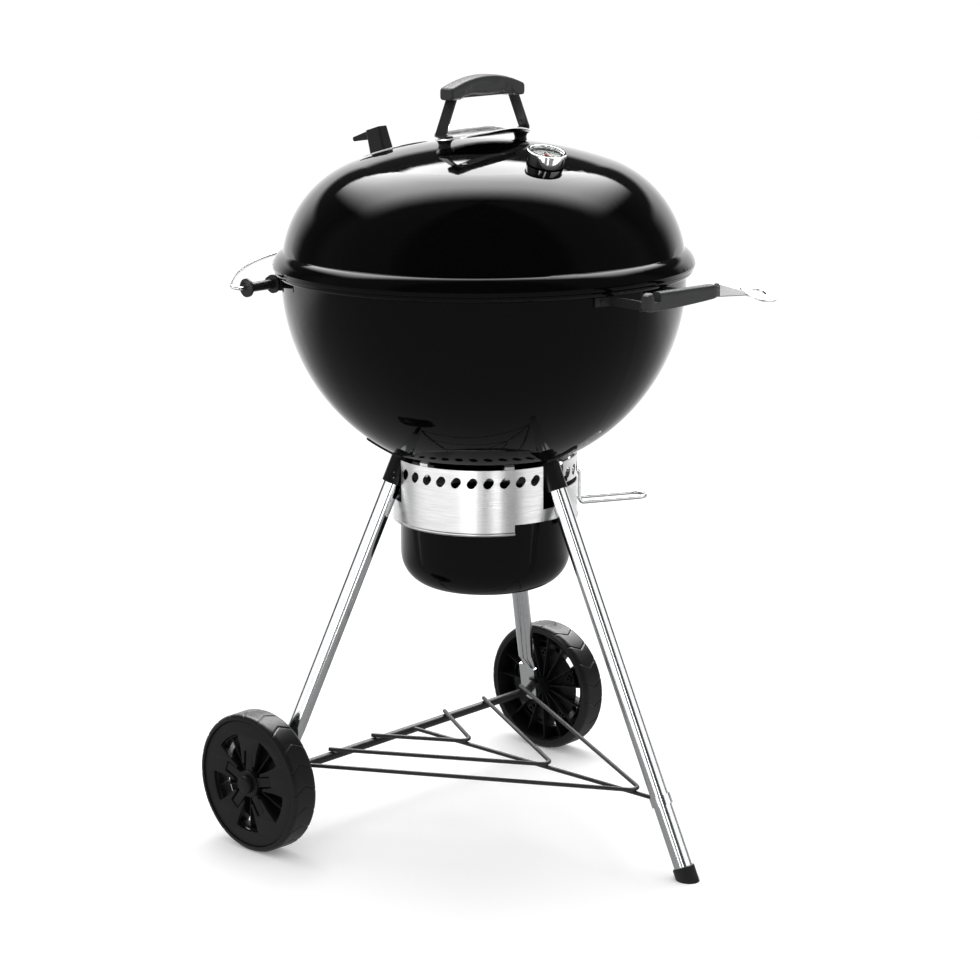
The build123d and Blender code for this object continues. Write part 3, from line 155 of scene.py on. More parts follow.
# finishes: colour and second colour of the grain, roughness range, and how deep the grain is
finishes = {
    "blackEnamel": dict(colour=(0.0004, 0.0004, 0.0005), grainColour=(0.0009, 0.0009, 0.001),
                        roughness=(0.035, 0.06), specular=0.22, scale=160, bump=0.03, depth=0.0004),
    "ashEnamel": dict(colour=(0.0006, 0.0006, 0.0007), grainColour=(0.0012, 0.0012, 0.0012),
                      roughness=(0.09, 0.14), specular=0.25, scale=220, bump=0.05, depth=0.0004),
    "polishedTube": dict(colour=(0.86, 0.87, 0.88), grainColour=(0.78, 0.79, 0.8),
                         roughness=(0.10, 0.17), metallic=1.0, scale=60, stretch=(8, 8, 0.5),
                         bump=0.04, depth=0.0002),
    "brushedSheet": dict(colour=(0.80, 0.80, 0.80), grainColour=(0.62, 0.62, 0.62),
                         roughness=(0.26, 0.40), metallic=1.0, scale=30, stretch=(1.2, 1.2, 60),
                         bump=0.12, depth=0.0002),
    "brightLeaf": dict(colour=(0.86, 0.86, 0.86), grainColour=(0.74, 0.74, 0.74),
                       roughness=(0.12, 0.2), metallic=1.0, scale=60, stretch=(12, 1, 1),
                       bump=0.06, depth=0.0002),
    "satinAluminium": dict(colour=(0.68, 0.68, 0.68), grainColour=(0.55, 0.55, 0.55),
                           roughness=(0.3, 0.42), metallic=1.0, scale=180, bump=0.1, depth=0.0002),
    "zincWire": dict(colour=(0.80, 0.81, 0.82), grainColour=(0.68, 0.68, 0.69),
                     roughness=(0.14, 0.26), metallic=1.0, scale=500, bump=0.05, depth=0.0001),
    "platedSteel": dict(colour=(0.72, 0.72, 0.73), grainColour=(0.58, 0.58, 0.59),
                        roughness=(0.18, 0.3), metallic=1.0, scale=420, bump=0.06, depth=0.0001),
    "bareSteel": dict(colour=(0.36, 0.35, 0.34), grainColour=(0.22, 0.2, 0.19),
                      roughness=(0.4, 0.62), metallic=1.0, scale=150, bump=0.25, depth=0.0003),
    "brightChrome": dict(colour=(0.86, 0.86, 0.87), grainColour=(0.8, 0.8, 0.81),
                         roughness=(0.03, 0.06), metallic=1.0, scale=260, bump=0.01, depth=0.0001),
    "greyNylon": dict(colour=(0.024, 0.0245, 0.026), grainColour=(0.036, 0.0365, 0.038),
                      roughness=(0.36, 0.5), scale=1500, bump=0.35, depth=0.0002),
    "blackNylon": dict(colour=(0.011, 0.011, 0.012), grainColour=(0.018, 0.018, 0.019),
                       roughness=(0.28, 0.42), scale=1100, bump=0.22, depth=0.0002),
    "socketNylon": dict(colour=(0.006, 0.006, 0.0065), grainColour=(0.011, 0.011, 0.011),
                        roughness=(0.16, 0.26), scale=900, bump=0.12, depth=0.0002),
    "wheelPlastic": dict(colour=(0.0045, 0.0045, 0.005), grainColour=(0.008, 0.008, 0.0083),
                         roughness=(0.38, 0.52), scale=900, bump=0.25, depth=0.0003),
    "treadPlastic": dict(colour=(0.0048, 0.0048, 0.005), grainColour=(0.009, 0.009, 0.009),
                         roughness=(0.3, 0.42), scale=700, bump=0.3, depth=0.0003),
    "powderCoat": dict(colour=(0.011, 0.011, 0.012), grainColour=(0.019, 0.019, 0.02),
                       roughness=(0.3, 0.42), scale=1300, bump=0.35, depth=0.0002),
    "wireCoat": dict(colour=(0.02, 0.02, 0.021), grainColour=(0.034, 0.033, 0.032),
                     roughness=(0.3, 0.46), scale=800, bump=0.2, depth=0.0002),
    "dialWhite": dict(colour=(0.82, 0.82, 0.8), grainColour=(0.74, 0.74, 0.72),
                      roughness=(0.45, 0.55), scale=900, bump=0.05, depth=0.0001),
    "needleRed": dict(colour=(0.5, 0.02, 0.015), grainColour=(0.4, 0.015, 0.01),
                      roughness=(0.35, 0.45), scale=900, bump=0.05, depth=0.0001),
}
finishDefaults = dict(metallic=0.0, specular=0.5, stretch=(1, 1, 1), detail=3.0, contrast=0.3,
                      patches=0.35, specks=0.0)


def makeFinish(name, **settings):
    made = dict(finishDefaults, **settings)
    material = bpy.data.materials.new(name)
    material.use_nodes = True
    tree = material.node_tree
    tree.nodes.clear()
    surface = addNode(tree, "ShaderNodeBsdfPrincipled", 500)
    out = addNode(tree, "ShaderNodeOutputMaterial", 800)
    tree.links.new(surface.outputs["BSDF"], out.inputs["Surface"])
    grain = addNode(tree, "ShaderNodeGroup", -500, 200, node_tree=surfaceGrain)
    grain.inputs["Stretch"].default_value = made["stretch"]
    grain.inputs["Scale"].default_value = made["scale"]
    grain.inputs["Detail"].default_value = made["detail"]
    grain.inputs["Contrast"].default_value = made["contrast"]
    marks = addNode(tree, "ShaderNodeGroup", -500, -200, node_tree=handlingMarks)
    base = mixColour(tree, grain.outputs["Value"], (*made["colour"], 1), (*made["grainColour"], 1))
    tree.links.new(base, surface.inputs["Base Color"])
    low, high = made["roughness"]
    worn = doMath(tree, "MULTIPLY", marks.outputs["Patches"], made["patches"])
    mixed = doMath(tree, "ADD", doMath(tree, "MULTIPLY", grain.outputs["Value"], 1 - made["patches"]), worn)
    tree.links.new(ramp(tree, mixed, 0.0, 1.0, low, high), surface.inputs["Roughness"])
    surface.inputs["Metallic"].default_value = made["metallic"]
    surface.inputs["Specular IOR Level"].default_value = made["specular"]
    bump = addNode(tree, "ShaderNodeBump", 200, -300)
    bump.inputs["Strength"].default_value = made["bump"]
    bump.inputs["Distance"].default_value = made["depth"]
    tree.links.new(grain.outputs["Value"], bump.inputs["Height"])
    tree.links.new(bump.outputs["Normal"], surface.inputs["Normal"])
    return material


materials = {name: makeFinish(name, **settings) for name, settings in finishes.items()}


def makeGlass():
    material = bpy.data.materials.new("dialGlass")
    material.use_nodes = True
    tree = material.node_tree
    surface = tree.nodes["Principled BSDF"]
    surface.inputs["Base Color"].default_value = (0.96, 0.98, 0.98, 1)
    surface.inputs["Transmission Weight"].default_value = 1.0
    surface.inputs["IOR"].default_value = 1.45
    marks = addNode(tree, "ShaderNodeGroup", -500, -200, node_tree=handlingMarks)
    tree.links.new(ramp(tree, marks.outputs["Patches"], 0.0, 1.0, 0.01, 0.04), surface.inputs["Roughness"])
    return material


materials["dialGlass"] = makeGlass()
print("finishes made:", len(materials))

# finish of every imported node
nodeFinish = {
    "blackEnamel": ["bowl", "lid"],
    "ashEnamel": ["ash_bowl"],
    "polishedTube": ["rack_clip", "leg_front", "leg_left", "leg_right"],
    "brushedSheet": ["ash_ring", "thermometer_holder"],
    "brightLeaf": ["heat_shield"],
    "satinAluminium": ["damper_disc", "damper_rivet", "vent_blades", "ring_hooks", "ring_brackets"],
    "zincWire": ["vent_lever", "lid_holder_hoop", "vent_shaft"],
    "platedSteel": ["cooking_grate", "grate_flap_front", "grate_flap_back", "flap_clips", "cooking_tabs",
                    "strap_bolts", "grip_screws"],
    "bareSteel": ["charcoal_grate", "charcoal_tabs"],
    "brightChrome": ["thermometer_bezel", "thermometer_housing", "thermometer_stem"],
    "greyNylon": ["lid_grip", "side_grip"],
    "blackNylon": ["damper_knob", "foot_cap", "roller_left", "roller_right",
                   "shield_spacers"],
    "socketNylon": ["leg_socket_front", "leg_socket_left", "leg_socket_right", "snap_buttons"],
    "wheelPlastic": ["wheel_left", "wheel_right", "hub_cap_left", "hub_cap_right"],
    "treadPlastic": ["tyre_left", "tyre_right"],
    "powderCoat": ["side_brackets", "side_bolts", "lid_handle_strap", "lid_holder_brackets", "axle"],
    "wireCoat": ["wire_rack"],
    "dialWhite": ["thermometer_dial"],
    "needleRed": ["thermometer_needle"],
    "dialGlass": ["thermometer_glass"],
}
for finish, names in nodeFinish.items():
    for name in names:
        mesh = nodes[name].data
        mesh.materials.clear()
        mesh.materials.append(materials[finish])
print("packed nodes given a finish:", sum(len(names) for names in nodeFinish.values()))

# a rounded corner takes at most this much of each side that meets there
mostOfSide = 0.45


def roundOff(points, radius, steps=5):
    # closed outline with each corner replaced by a short arc
    rounded = []
    for index, corner in enumerate(points):
        corner = Vector(corner)
        before = Vector(points[index - 1]) - corner
        after = Vector(points[(index + 1) % len(points)]) - corner
        reach = min(radius, before.length * mostOfSide, after.length * mostOfSide)
        start, end = corner + before.normalized() * reach, corner + after.normalized() * reach
        for step in range(steps + 1):
            share = step / steps
            rounded.append(start * (1 - share) ** 2 + corner * 2 * share * (1 - share) + end * share ** 2)
    return rounded


def makePlate(name, outlines, low, high, edge):
    # flat plate between two heights from closed outlines, with softened edges
    data = bpy.data.curves.new(name, "CURVE")
    data.dimensions = "2D"
    data.fill_mode = "BOTH"
    data.extrude = (high - low) / 2 - edge
    data.bevel_depth = edge
    data.bevel_resolution = 2
    data.offset = -edge
    for outline in outlines:
        spline = data.splines.new("POLY")
        spline.points.add(len(outline) - 1)
        for point, place in zip(spline.points, outline):
            point.co = (place[0], place[1], 0, 1)
        spline.use_cyclic_u = True
    holder = bpy.data.objects.new(name, data)
    bpy.context.scene.collection.objects.link(holder)
    shape = bmesh.new()
    mesh = bpy.data.meshes.new_from_object(holder.evaluated_get(bpy.context.evaluated_depsgraph_get()))
    shape.from_mesh(mesh)
    bpy.data.objects.remove(holder)
    bpy.data.meshes.remove(mesh)
    bmesh.ops.remove_doubles(shape, verts=shape.verts, dist=1e-6)
    bmesh.ops.translate(shape, verts=shape.verts, vec=(0, 0, (low + high) / 2))
    bmesh.ops.recalc_face_normals(shape, faces=shape.faces)
    return shape


def spinProfile(profile, count, closed=True):
    # ring of (radius, height) points turned round the local Z axis
    shape = bmesh.new()
    rings = []
    for step in range(count):
        angle = 2 * math.pi * step / count
        rings.append([shape.verts.new((radius * math.cos(angle), radius * math.sin(angle), height))
                      for radius, height in profile])
    spans = len(profile) if closed else len(profile) - 1
    for step in range(count):
        here, there = rings[step], rings[(step + 1) % count]
        for first in range(spans):
            second = (first + 1) % len(profile)
            shape.faces.new((here[first], there[first], there[second], here[second]))
    bmesh.ops.recalc_face_normals(shape, faces=shape.faces)
    return shape


def joinShapes(name, shapes, finish, place=None, sharp=35):
    # one mesh from several shapes, moved into place, with smooth faces and sharp corners kept
    mesh = bpy.data.meshes.new(name)
    whole = bmesh.new()
    for shape in shapes:
        part = bpy.data.meshes.new("part")
        shape.to_mesh(part)
        whole.from_mesh(part)
        bpy.data.meshes.remove(part)
        shape.free()
    if place is not None:
        whole.transform(place)
    for face in whole.faces:
        face.smooth = True
    for edge in whole.edges:
        if len(edge.link_faces) == 2 and edge.calc_face_angle(0) > math.radians(sharp):
            edge.smooth = False
    whole.to_mesh(mesh)
    whole.free()
    mesh.materials.append(materials[finish])
    piece = bpy.data.objects.new(name, mesh)
    bpy.context.scene.collection.objects.link(piece)
    return piece


def newGeometryGroup(name, inputs):
    group = bpy.data.node_groups.new(name, "GeometryNodeTree")
    group.interface.new_socket(name="Geometry", in_out="INPUT", socket_type="NodeSocketGeometry")
    for label, kind, value in inputs:
        made = group.interface.new_socket(name=label, in_out="INPUT", socket_type=kind)
        if value is not None:
            made.default_value = value
    group.interface.new_socket(name="Geometry", in_out="OUTPUT", socket_type="NodeSocketGeometry")
    return group, addNode(group, "NodeGroupInput", -900), addNode(group, "NodeGroupOutput", 900)


def closeGroup(group, given, out, geometry):
    # every node tree of a piece ends in real geometry with its material
    real = addNode(group, "GeometryNodeRealizeInstances", 500)
    finish = addNode(group, "GeometryNodeSetMaterial", 700)
    group.links.new(geometry, real.inputs[0])
    group.links.new(real.outputs[0], finish.inputs["Geometry"])
    group.links.new(given.outputs["Finish"], finish.inputs["Material"])
    group.links.new(finish.outputs[0], out.inputs[0])


def runGroup(piece, group, settings):
    # runs the node tree on the piece and keeps the result as its plain mesh
    live = piece.modifiers.new(group.name, "NODES")
    live.node_group = group
    for item in group.interface.items_tree:
        if item.item_type == "SOCKET" and item.in_out == "INPUT" and item.name in settings:
            live[item.identifier] = settings[item.name]
    bpy.context.view_layer.update()
    made = bpy.data.meshes.new_from_object(piece.evaluated_get(bpy.context.evaluated_depsgraph_get()))
    piece.modifiers.remove(live)
    piece.data = made
    return piece


def makeTreadGroup():
    # presses a chevron groove into the tread at even steps round the wheel
    group, given, out = newGeometryGroup("treadGrooves", [
        ("Finish", "NodeSocketMaterial", None), ("Grooves", "NodeSocketFloat", 20.0),
        ("Slant", "NodeSocketFloat", 18.0), ("Groove Width", "NodeSocketFloat", 0.07),
        ("Groove Depth", "NodeSocketFloat", 0.001), ("Tread Start", "NodeSocketFloat", 0.0955),
        ("Tread Full", "NodeSocketFloat", 0.0985), ("Whole Turns", "NodeSocketFloat", 40.0)])
    place = addNode(group, "GeometryNodeInputPosition", -900, 300)
    split = addNode(group, "ShaderNodeSeparateXYZ", -700, 300)
    group.links.new(place.outputs[0], split.inputs[0])
    angle = doMath(group, "ARCTAN2", split.outputs["Y"], split.outputs["X"])
    xSquared = doMath(group, "POWER", split.outputs["X"], 2.0)
    ySquared = doMath(group, "POWER", split.outputs["Y"], 2.0)
    radius = doMath(group, "SQRT", doMath(group, "ADD", xSquared, ySquared))
    turns = doMath(group, "MULTIPLY", doMath(group, "DIVIDE", angle, 2 * math.pi), given.outputs["Grooves"])
    bent = doMath(group, "MULTIPLY", doMath(group, "ABSOLUTE", split.outputs["Z"]), given.outputs["Slant"])
    phase = doMath(group, "FRACT", doMath(group, "ADD", doMath(group, "ADD", turns, bent),
                                           given.outputs["Whole Turns"]))
    near = doMath(group, "ABSOLUTE", doMath(group, "SUBTRACT", phase, 0.5))
    dip = ramp(group, near, 0.0, given.outputs["Groove Width"], 1.0, 0.0)
    onTread = ramp(group, radius, given.outputs["Tread Start"], given.outputs["Tread Full"])
    share = doMath(group, "MULTIPLY", dip, onTread)
    push = doMath(group, "MULTIPLY", share, given.outputs["Groove Depth"])
    normal = addNode(group, "GeometryNodeInputNormal", -300, -200)
    scale = addNode(group, "ShaderNodeVectorMath", 100, -100, operation="SCALE")
    group.links.new(normal.outputs[0], scale.inputs[0])
    group.links.new(doMath(group, "MULTIPLY", push, -1.0), scale.inputs["Scale"])
    move = addNode(group, "GeometryNodeSetPosition", 300)
    group.links.new(given.outputs["Geometry"], move.inputs["Geometry"])
    group.links.new(scale.outputs[0], move.inputs["Offset"])
    closeGroup(group, given, out, move.outputs[0])
    return group


def makeRingGroup():
    # sets copies of a shape at even steps round the local Z axis
    group, given, out = newGeometryGroup("ringOfCopies", [
        ("Finish", "NodeSocketMaterial", None), ("Copies", "NodeSocketInt", 15),
        ("First Angle", "NodeSocketFloat", 0.0)])
    line = addNode(group, "GeometryNodePoints", -500)
    group.links.new(given.outputs["Copies"], line.inputs["Count"])
    index = addNode(group, "GeometryNodeInputIndex", -700, -200)
    share = doMath(group, "DIVIDE", index.outputs[0], given.outputs["Copies"])
    turn = doMath(group, "ADD", doMath(group, "MULTIPLY", share, 2 * math.pi), given.outputs["First Angle"])
    rotation = addNode(group, "ShaderNodeCombineXYZ", -200, -200)
    group.links.new(turn, rotation.inputs["Z"])
    copies = addNode(group, "GeometryNodeInstanceOnPoints", 200)
    group.links.new(line.outputs[0], copies.inputs["Points"])
    group.links.new(given.outputs["Geometry"], copies.inputs["Instance"])
    toRotation = addNode(group, "FunctionNodeEulerToRotation", 0, -200)
    group.links.new(rotation.outputs[0], toRotation.inputs[0])
    group.links.new(toRotation.outputs[0], copies.inputs["Rotation"])
    closeGroup(group, given, out, copies.outputs[0])
    return group


treadGrooves = makeTreadGroup()
ringOfCopies = makeRingGroup()


def ringShape(shape, copies, firstAngle, finish="wheelPlastic"):
    # the shape repeated round the axis, as a shape again
    piece = joinShapes("ringPart", [shape], finish)
    runGroup(piece, ringOfCopies, {"Finish": materials[finish], "Copies": copies, "First Angle": firstAngle})
    whole = bmesh.new()
    whole.from_mesh(piece.data)
    bpy.data.objects.remove(piece)
    return whole


def boxShape(low, high, edge=0.0004):
    shape = bmesh.new()
    bmesh.ops.create_cube(shape, size=1)
    size = Vector(high) - Vector(low)
    bmesh.ops.scale(shape, vec=size, verts=shape.verts)
    bmesh.ops.translate(shape, vec=(Vector(high) + Vector(low)) / 2, verts=shape.verts)
    bmesh.ops.bevel(shape, geom=shape.edges[:], offset=edge, segments=2, profile=0.5, affect="EDGES")
    return shape


# wheel: five paddles round a star of bars, ribs and bosses behind
wheel = {
    "axle": (-0.155, 0.308, 0.1), "bore": 0.0064, "paddles": 5, "firstPaddle": 15.0,
    "barrel": 0.0907, "barrelInside": 0.0872, "barrelLow": -0.0205, "barrelHigh": 0.0194,
    "barrelCorner": (0.0898, 0.0188), "barrelLip": 0.0873, "barrelStep": (0.0140, 0.0136), "barrelSides": 192,
    "faceRing": 0.0885, "faceLow": 0.0135, "faceHigh": 0.0193, "faceEdge": 0.0007, "faceSides": 144,
    "windowOut": 0.0712, "windowHalf": 18.0, "windowMiddle": 0.05, "windowLean": 0.6, "windowRound": 0.0016,
    "windowSteps": 10, "cornerSteps": 3,
    "notchHalf": 0.0084, "notchIn": 0.0275, "notchOut": 0.0475, "prongHalf": 0.0122,
    "barHalf": 0.0064, "barIn": 0.0145, "barOut": 0.052, "barRound": 0.0012,
    "starLow": 0.0095, "starHigh": 0.0178, "starEdge": 0.0006,
    "hub": 0.0195, "hubLow": 0.012, "hubHigh": 0.0205, "hubRound": 0.001, "hubSides": 96,
    "tube": 0.0125, "tubeLow": -0.029, "tubeHigh": 0.0145, "tubeDraft": 0.001, "tubeSides": 64,
    "ribs": 15, "rib": 0.0016, "ribIn": 0.0128, "ribOut": 0.0877, "ribLow": -0.012, "ribTurn": 12.0,
    "behindFace": 0.0138,
    "boss": 0.0085, "bossTip": 0.004675, "bossBore": 0.0028, "bossRing": 0.052, "bossLow": -0.006,
    "bossSides": 40,
    "webs": ((0.0685, 0.0699, 0.0, 0.0138), (0.0122, 0.0605, -0.0016, 0.0004)), "webSides": 144,
}


def polar(radius, degrees):
    return (radius * math.cos(math.radians(degrees)), radius * math.sin(math.radians(degrees)))


def turnPoint(point, degrees):
    cosine, sine = math.cos(math.radians(degrees)), math.sin(math.radians(degrees))
    return (point[0] * cosine - point[1] * sine, point[0] * sine + point[1] * cosine)


def paddleAngles():
    step = 360 / wheel["paddles"]
    return [wheel["firstPaddle"] + number * step for number in range(wheel["paddles"])]


def makeWheelOpening():
    # one outline: round the slot in each paddle, then out and round the window after it
    opening = []
    half, steps = wheel["windowHalf"], wheel["windowSteps"]
    slot = [(wheel["notchIn"], wheel["notchHalf"]), (wheel["notchOut"], wheel["notchHalf"])]
    prong = (wheel["notchIn"], wheel["prongHalf"])
    corners = [prong, *slot]
    corners = [(along, -across) for along, across in corners] + corners[::-1]
    for paddle in paddleAngles():
        window = paddle + 180 / wheel["paddles"]
        opening += [turnPoint(corner, paddle) for corner in corners]
        opening.append(polar(wheel["windowMiddle"], window - half + wheel["windowLean"]))
        opening += [polar(wheel["windowOut"], window - half + half * 2 * k / steps) for k in range(steps + 1)]
        opening.append(polar(wheel["windowMiddle"], window + half - wheel["windowLean"]))
    return [tuple(point) for point in roundOff(opening, wheel["windowRound"], wheel["cornerSteps"])]


def makeWheelStar():
    # the narrow bars that run from the hub into the slots of the paddles
    bars = []
    half = wheel["barHalf"]
    for paddle in paddleAngles():
        for along, across in ((wheel["barIn"], -half), (wheel["barOut"], -half),
                              (wheel["barOut"], half), (wheel["barIn"], half)):
            bars.append(turnPoint((along, across), paddle))
    outline = roundOff(bars, wheel["barRound"], wheel["cornerSteps"])
    return makePlate("star", [outline], wheel["starLow"], wheel["starHigh"], wheel["starEdge"])


def makeWheelRings():
    # hub, barrel, axle tube and webs, all turned round the axle
    bore, hub, tube = wheel["bore"], wheel["hub"], wheel["tube"]
    hubHigh, rounding, draft = wheel["hubHigh"], wheel["hubRound"], wheel["tubeDraft"]
    inside, lip = wheel["barrelInside"], wheel["barrelLip"]
    corner, step = wheel["barrelCorner"], wheel["barrelStep"]
    rings = [
        spinProfile([(bore, wheel["hubLow"]), (hub, wheel["hubLow"]), (hub, hubHigh - rounding),
                     (hub - rounding, hubHigh), (bore, hubHigh)], wheel["hubSides"]),
        spinProfile([(inside, wheel["barrelLow"]), (wheel["barrel"], wheel["barrelLow"]),
                     (wheel["barrel"], corner[1]), (corner[0], wheel["barrelHigh"]),
                     (lip, wheel["barrelHigh"]), (lip, step[0]), (inside, step[1])], wheel["barrelSides"]),
        spinProfile([(bore, wheel["tubeLow"]), (tube - draft, wheel["tubeLow"]),
                     (tube, wheel["tubeLow"] + draft), (tube + draft, wheel["tubeHigh"]),
                     (bore, wheel["tubeHigh"])], wheel["tubeSides"]),
    ]
    for inner, outer, low, high in wheel["webs"]:
        web = [(inner, low), (outer, low), (outer, high), (inner, high)]
        rings.append(spinProfile(web, wheel["webSides"]))
    return rings


def makeWheelRibs():
    half = wheel["rib"] / 2
    rib = boxShape((wheel["ribIn"], -half, wheel["ribLow"]), (wheel["ribOut"], half, wheel["behindFace"]))
    boss = spinProfile([(wheel["bossBore"], wheel["bossLow"]), (wheel["bossTip"], wheel["bossLow"]),
                        (wheel["boss"], wheel["behindFace"]), (wheel["bossBore"], wheel["behindFace"])],
                       wheel["bossSides"])
    bmesh.ops.translate(boss, verts=boss.verts, vec=(wheel["bossRing"], 0, 0))
    return [ringShape(rib, wheel["ribs"], math.radians(wheel["firstPaddle"] + wheel["ribTurn"])),
            ringShape(boss, wheel["paddles"], math.radians(wheel["firstPaddle"]))]


def wheelPlace(side):
    # from the wheel's own axes, with Z out along the axle, to its place on the stand
    x, y, z = wheel["axle"]
    if side < 0:
        return Matrix(((1, 0, 0, x), (0, 0, -1, -y), (0, 1, 0, z), (0, 0, 0, 1)))
    return Matrix(((-1, 0, 0, x), (0, 0, 1, y), (0, 1, 0, z), (0, 0, 0, 1)))


def makeWheelBody(side, label):
    sides = wheel["faceSides"]
    edge = [polar(wheel["faceRing"], 360 * number / sides) for number in range(sides)]
    face = makePlate("face", [edge, makeWheelOpening()], wheel["faceLow"], wheel["faceHigh"],
                     wheel["faceEdge"])
    shapes = [face, makeWheelStar(), *makeWheelRings(), *makeWheelRibs()]
    body = joinShapes("wheelBody" + label, shapes, "wheelPlastic", wheelPlace(side))
    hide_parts("wheel_" + label.lower())
    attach(body, label.lower() + "_wheel")


# tread: rounded shoulders, a face that falls slightly towards the outside, chevron grooves
tread = {"radius": 0.1, "half": 0.021, "seat": 0.091, "shoulder": 0.0065, "side": 0.0932, "fall": 0.0002,
         "rows": 28, "around": 900, "cornerStep": 15, "seatDrop": 0.0005, "lip": (0.0916, 0.0912),
         "lipDrop": 0.0014}


def makeWheelTread(side, label):
    radius, half, shoulder = tread["radius"], tread["half"], tread["shoulder"]
    fall, rows, step = tread["fall"], tread["rows"], tread["cornerStep"]

    def corner(degrees):
        angle = math.radians(degrees)
        return (radius - shoulder * (1 - math.sin(angle)) - fall, half - shoulder * (1 - math.cos(angle)))

    turned = [corner(degrees) for degrees in range(step, 90, step)]
    profile = [(tread["seat"], -half + tread["seatDrop"]), (tread["side"], -half)]
    profile += [(out, -height) for out, height in turned]
    profile += [(radius - fall + fall * math.cos(math.pi * row / rows),
                 -half + shoulder + 2 * (half - shoulder) * row / rows) for row in range(rows + 1)]
    profile += turned[::-1]
    profile += [(tread["side"], half), (tread["lip"][0], half), (tread["lip"][1], half - tread["lipDrop"])]
    piece = joinShapes("wheelTread" + label, [spinProfile(profile, tread["around"])], "treadPlastic")
    runGroup(piece, treadGrooves, {"Finish": materials["treadPlastic"]})
    piece.data.transform(wheelPlace(side))
    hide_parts("tyre_" + label.lower())
    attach(piece, label.lower() + "_wheel")


# hub cap: a shallow domed button, hollow behind; "pole" stands for the middle, where points are joined
hubCap = {
    "pole": 0.00001, "top": 0.0292, "flat": 0.009, "shoulder": (0.0112, 0.0286), "brow": (0.0126, 0.0272),
    "radius": 0.0129, "wall": (0.0262, 0.0215), "recess": 0.0066, "ceiling": 0.0265, "sides": 64,
    "join": 2e-5,
}


def makeHubCap(side, label):
    radius, recess = hubCap["radius"], hubCap["recess"]
    wallTop, wallFoot = hubCap["wall"]
    profile = [(hubCap["pole"], hubCap["top"]), (hubCap["flat"], hubCap["top"]), hubCap["shoulder"],
               hubCap["brow"], (radius, wallTop), (radius, wallFoot), (recess, wallFoot),
               (recess, hubCap["ceiling"]), (hubCap["pole"], hubCap["ceiling"])]
    shape = spinProfile(profile, hubCap["sides"], closed=False)
    bmesh.ops.remove_doubles(shape, verts=shape.verts, dist=hubCap["join"])
    piece = joinShapes("hubCap" + label, [shape], "wheelPlastic", wheelPlace(side))
    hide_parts("hub_cap_" + label.lower())
    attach(piece, "stand_and_bowl")


for wheelSide, wheelLabel in ((-1, "Left"), (1, "Right")):
    makeWheelBody(wheelSide, wheelLabel)
    makeWheelTread(wheelSide, wheelLabel)
    makeHubCap(wheelSide, wheelLabel)
print("wheels made")


def sweepSections(sections):
    # skin over a row of closed sections with as many points each, ends closed by a fan
    shape = bmesh.new()
    rows = [[shape.verts.new(point) for point in section] for section in sections]
    count = len(rows[0])
    for here, there in zip(rows, rows[1:]):
        for first in range(count):
            second = (first + 1) % count
            shape.faces.new((here[first], here[second], there[second], there[first]))
    for row in (rows[0], rows[-1]):
        centre = shape.verts.new(sum((corner.co for corner in row), Vector()) / count)
        for first in range(count):
            shape.faces.new((row[first], row[(first + 1) % count], centre))
    bmesh.ops.recalc_face_normals(shape, faces=shape.faces)
    return shape


def roundedSection(halfWidth, low, high, count, squareness):
    # points round a soft-cornered box, starting at the middle of the right side
    points = []
    for number in range(count):
        angle = 2 * math.pi * number / count
        across, rise = (math.copysign(abs(part) ** (2 / squareness), part)
                        for part in (math.cos(angle), math.sin(angle)))
        points.append((halfWidth * across, (low + high) / 2 + (high - low) / 2 * rise))
    return points


def limit(value):
    return max(0, min(1, value))


# lid grip: arched back, stepped side panel and slanted finger ribs underneath
lidGrip = {
    "half": 0.074, "width": 0.0125, "bottom": 1.046, "endTop": 1.0625, "rise": 0.0152, "stations": 222,
    "around": 96, "squareness": 5.0, "endRound": 0.045, "endShrink": 0.18,
    "relief": 0.0065, "reliefHalf": 0.056, "reliefPower": 0.6, "bellyHalf": 0.03, "bellyShare": 0.5,
    "panelHalf": 0.053, "panelShare": 0.72, "panelDeep": 0.0009, "panelFade": 0.0012,
    "ribPitch": 0.0043, "ribDeep": 0.0006, "ribSlant": 0.8, "ribHigh": 0.009, "ribHighFade": 0.002,
    "ribHalf": 0.036, "ribHalfFade": 0.004,
}


def lidGripInset(x, y, z, low, top):
    # how far the side panel and its ribs are sunk at a point of the grip's side
    if abs(y) >= lidGrip["panelHalf"]:
        return 0
    border = low + (top - low) * lidGrip["panelShare"] * (1 - (y / lidGrip["panelHalf"]) ** 2) ** 0.5
    panel = limit((border - z) / lidGrip["panelFade"])
    lean = (z - low) * lidGrip["ribSlant"] * math.copysign(1, x)
    ribs = 0.5 + 0.5 * math.sin(2 * math.pi * (y + lean) / lidGrip["ribPitch"])
    ribs *= limit((low + lidGrip["ribHigh"] - z) / lidGrip["ribHighFade"])
    ribs *= limit((lidGrip["ribHalf"] - abs(y)) / lidGrip["ribHalfFade"])
    return panel * (lidGrip["panelDeep"] + lidGrip["ribDeep"] * ribs)


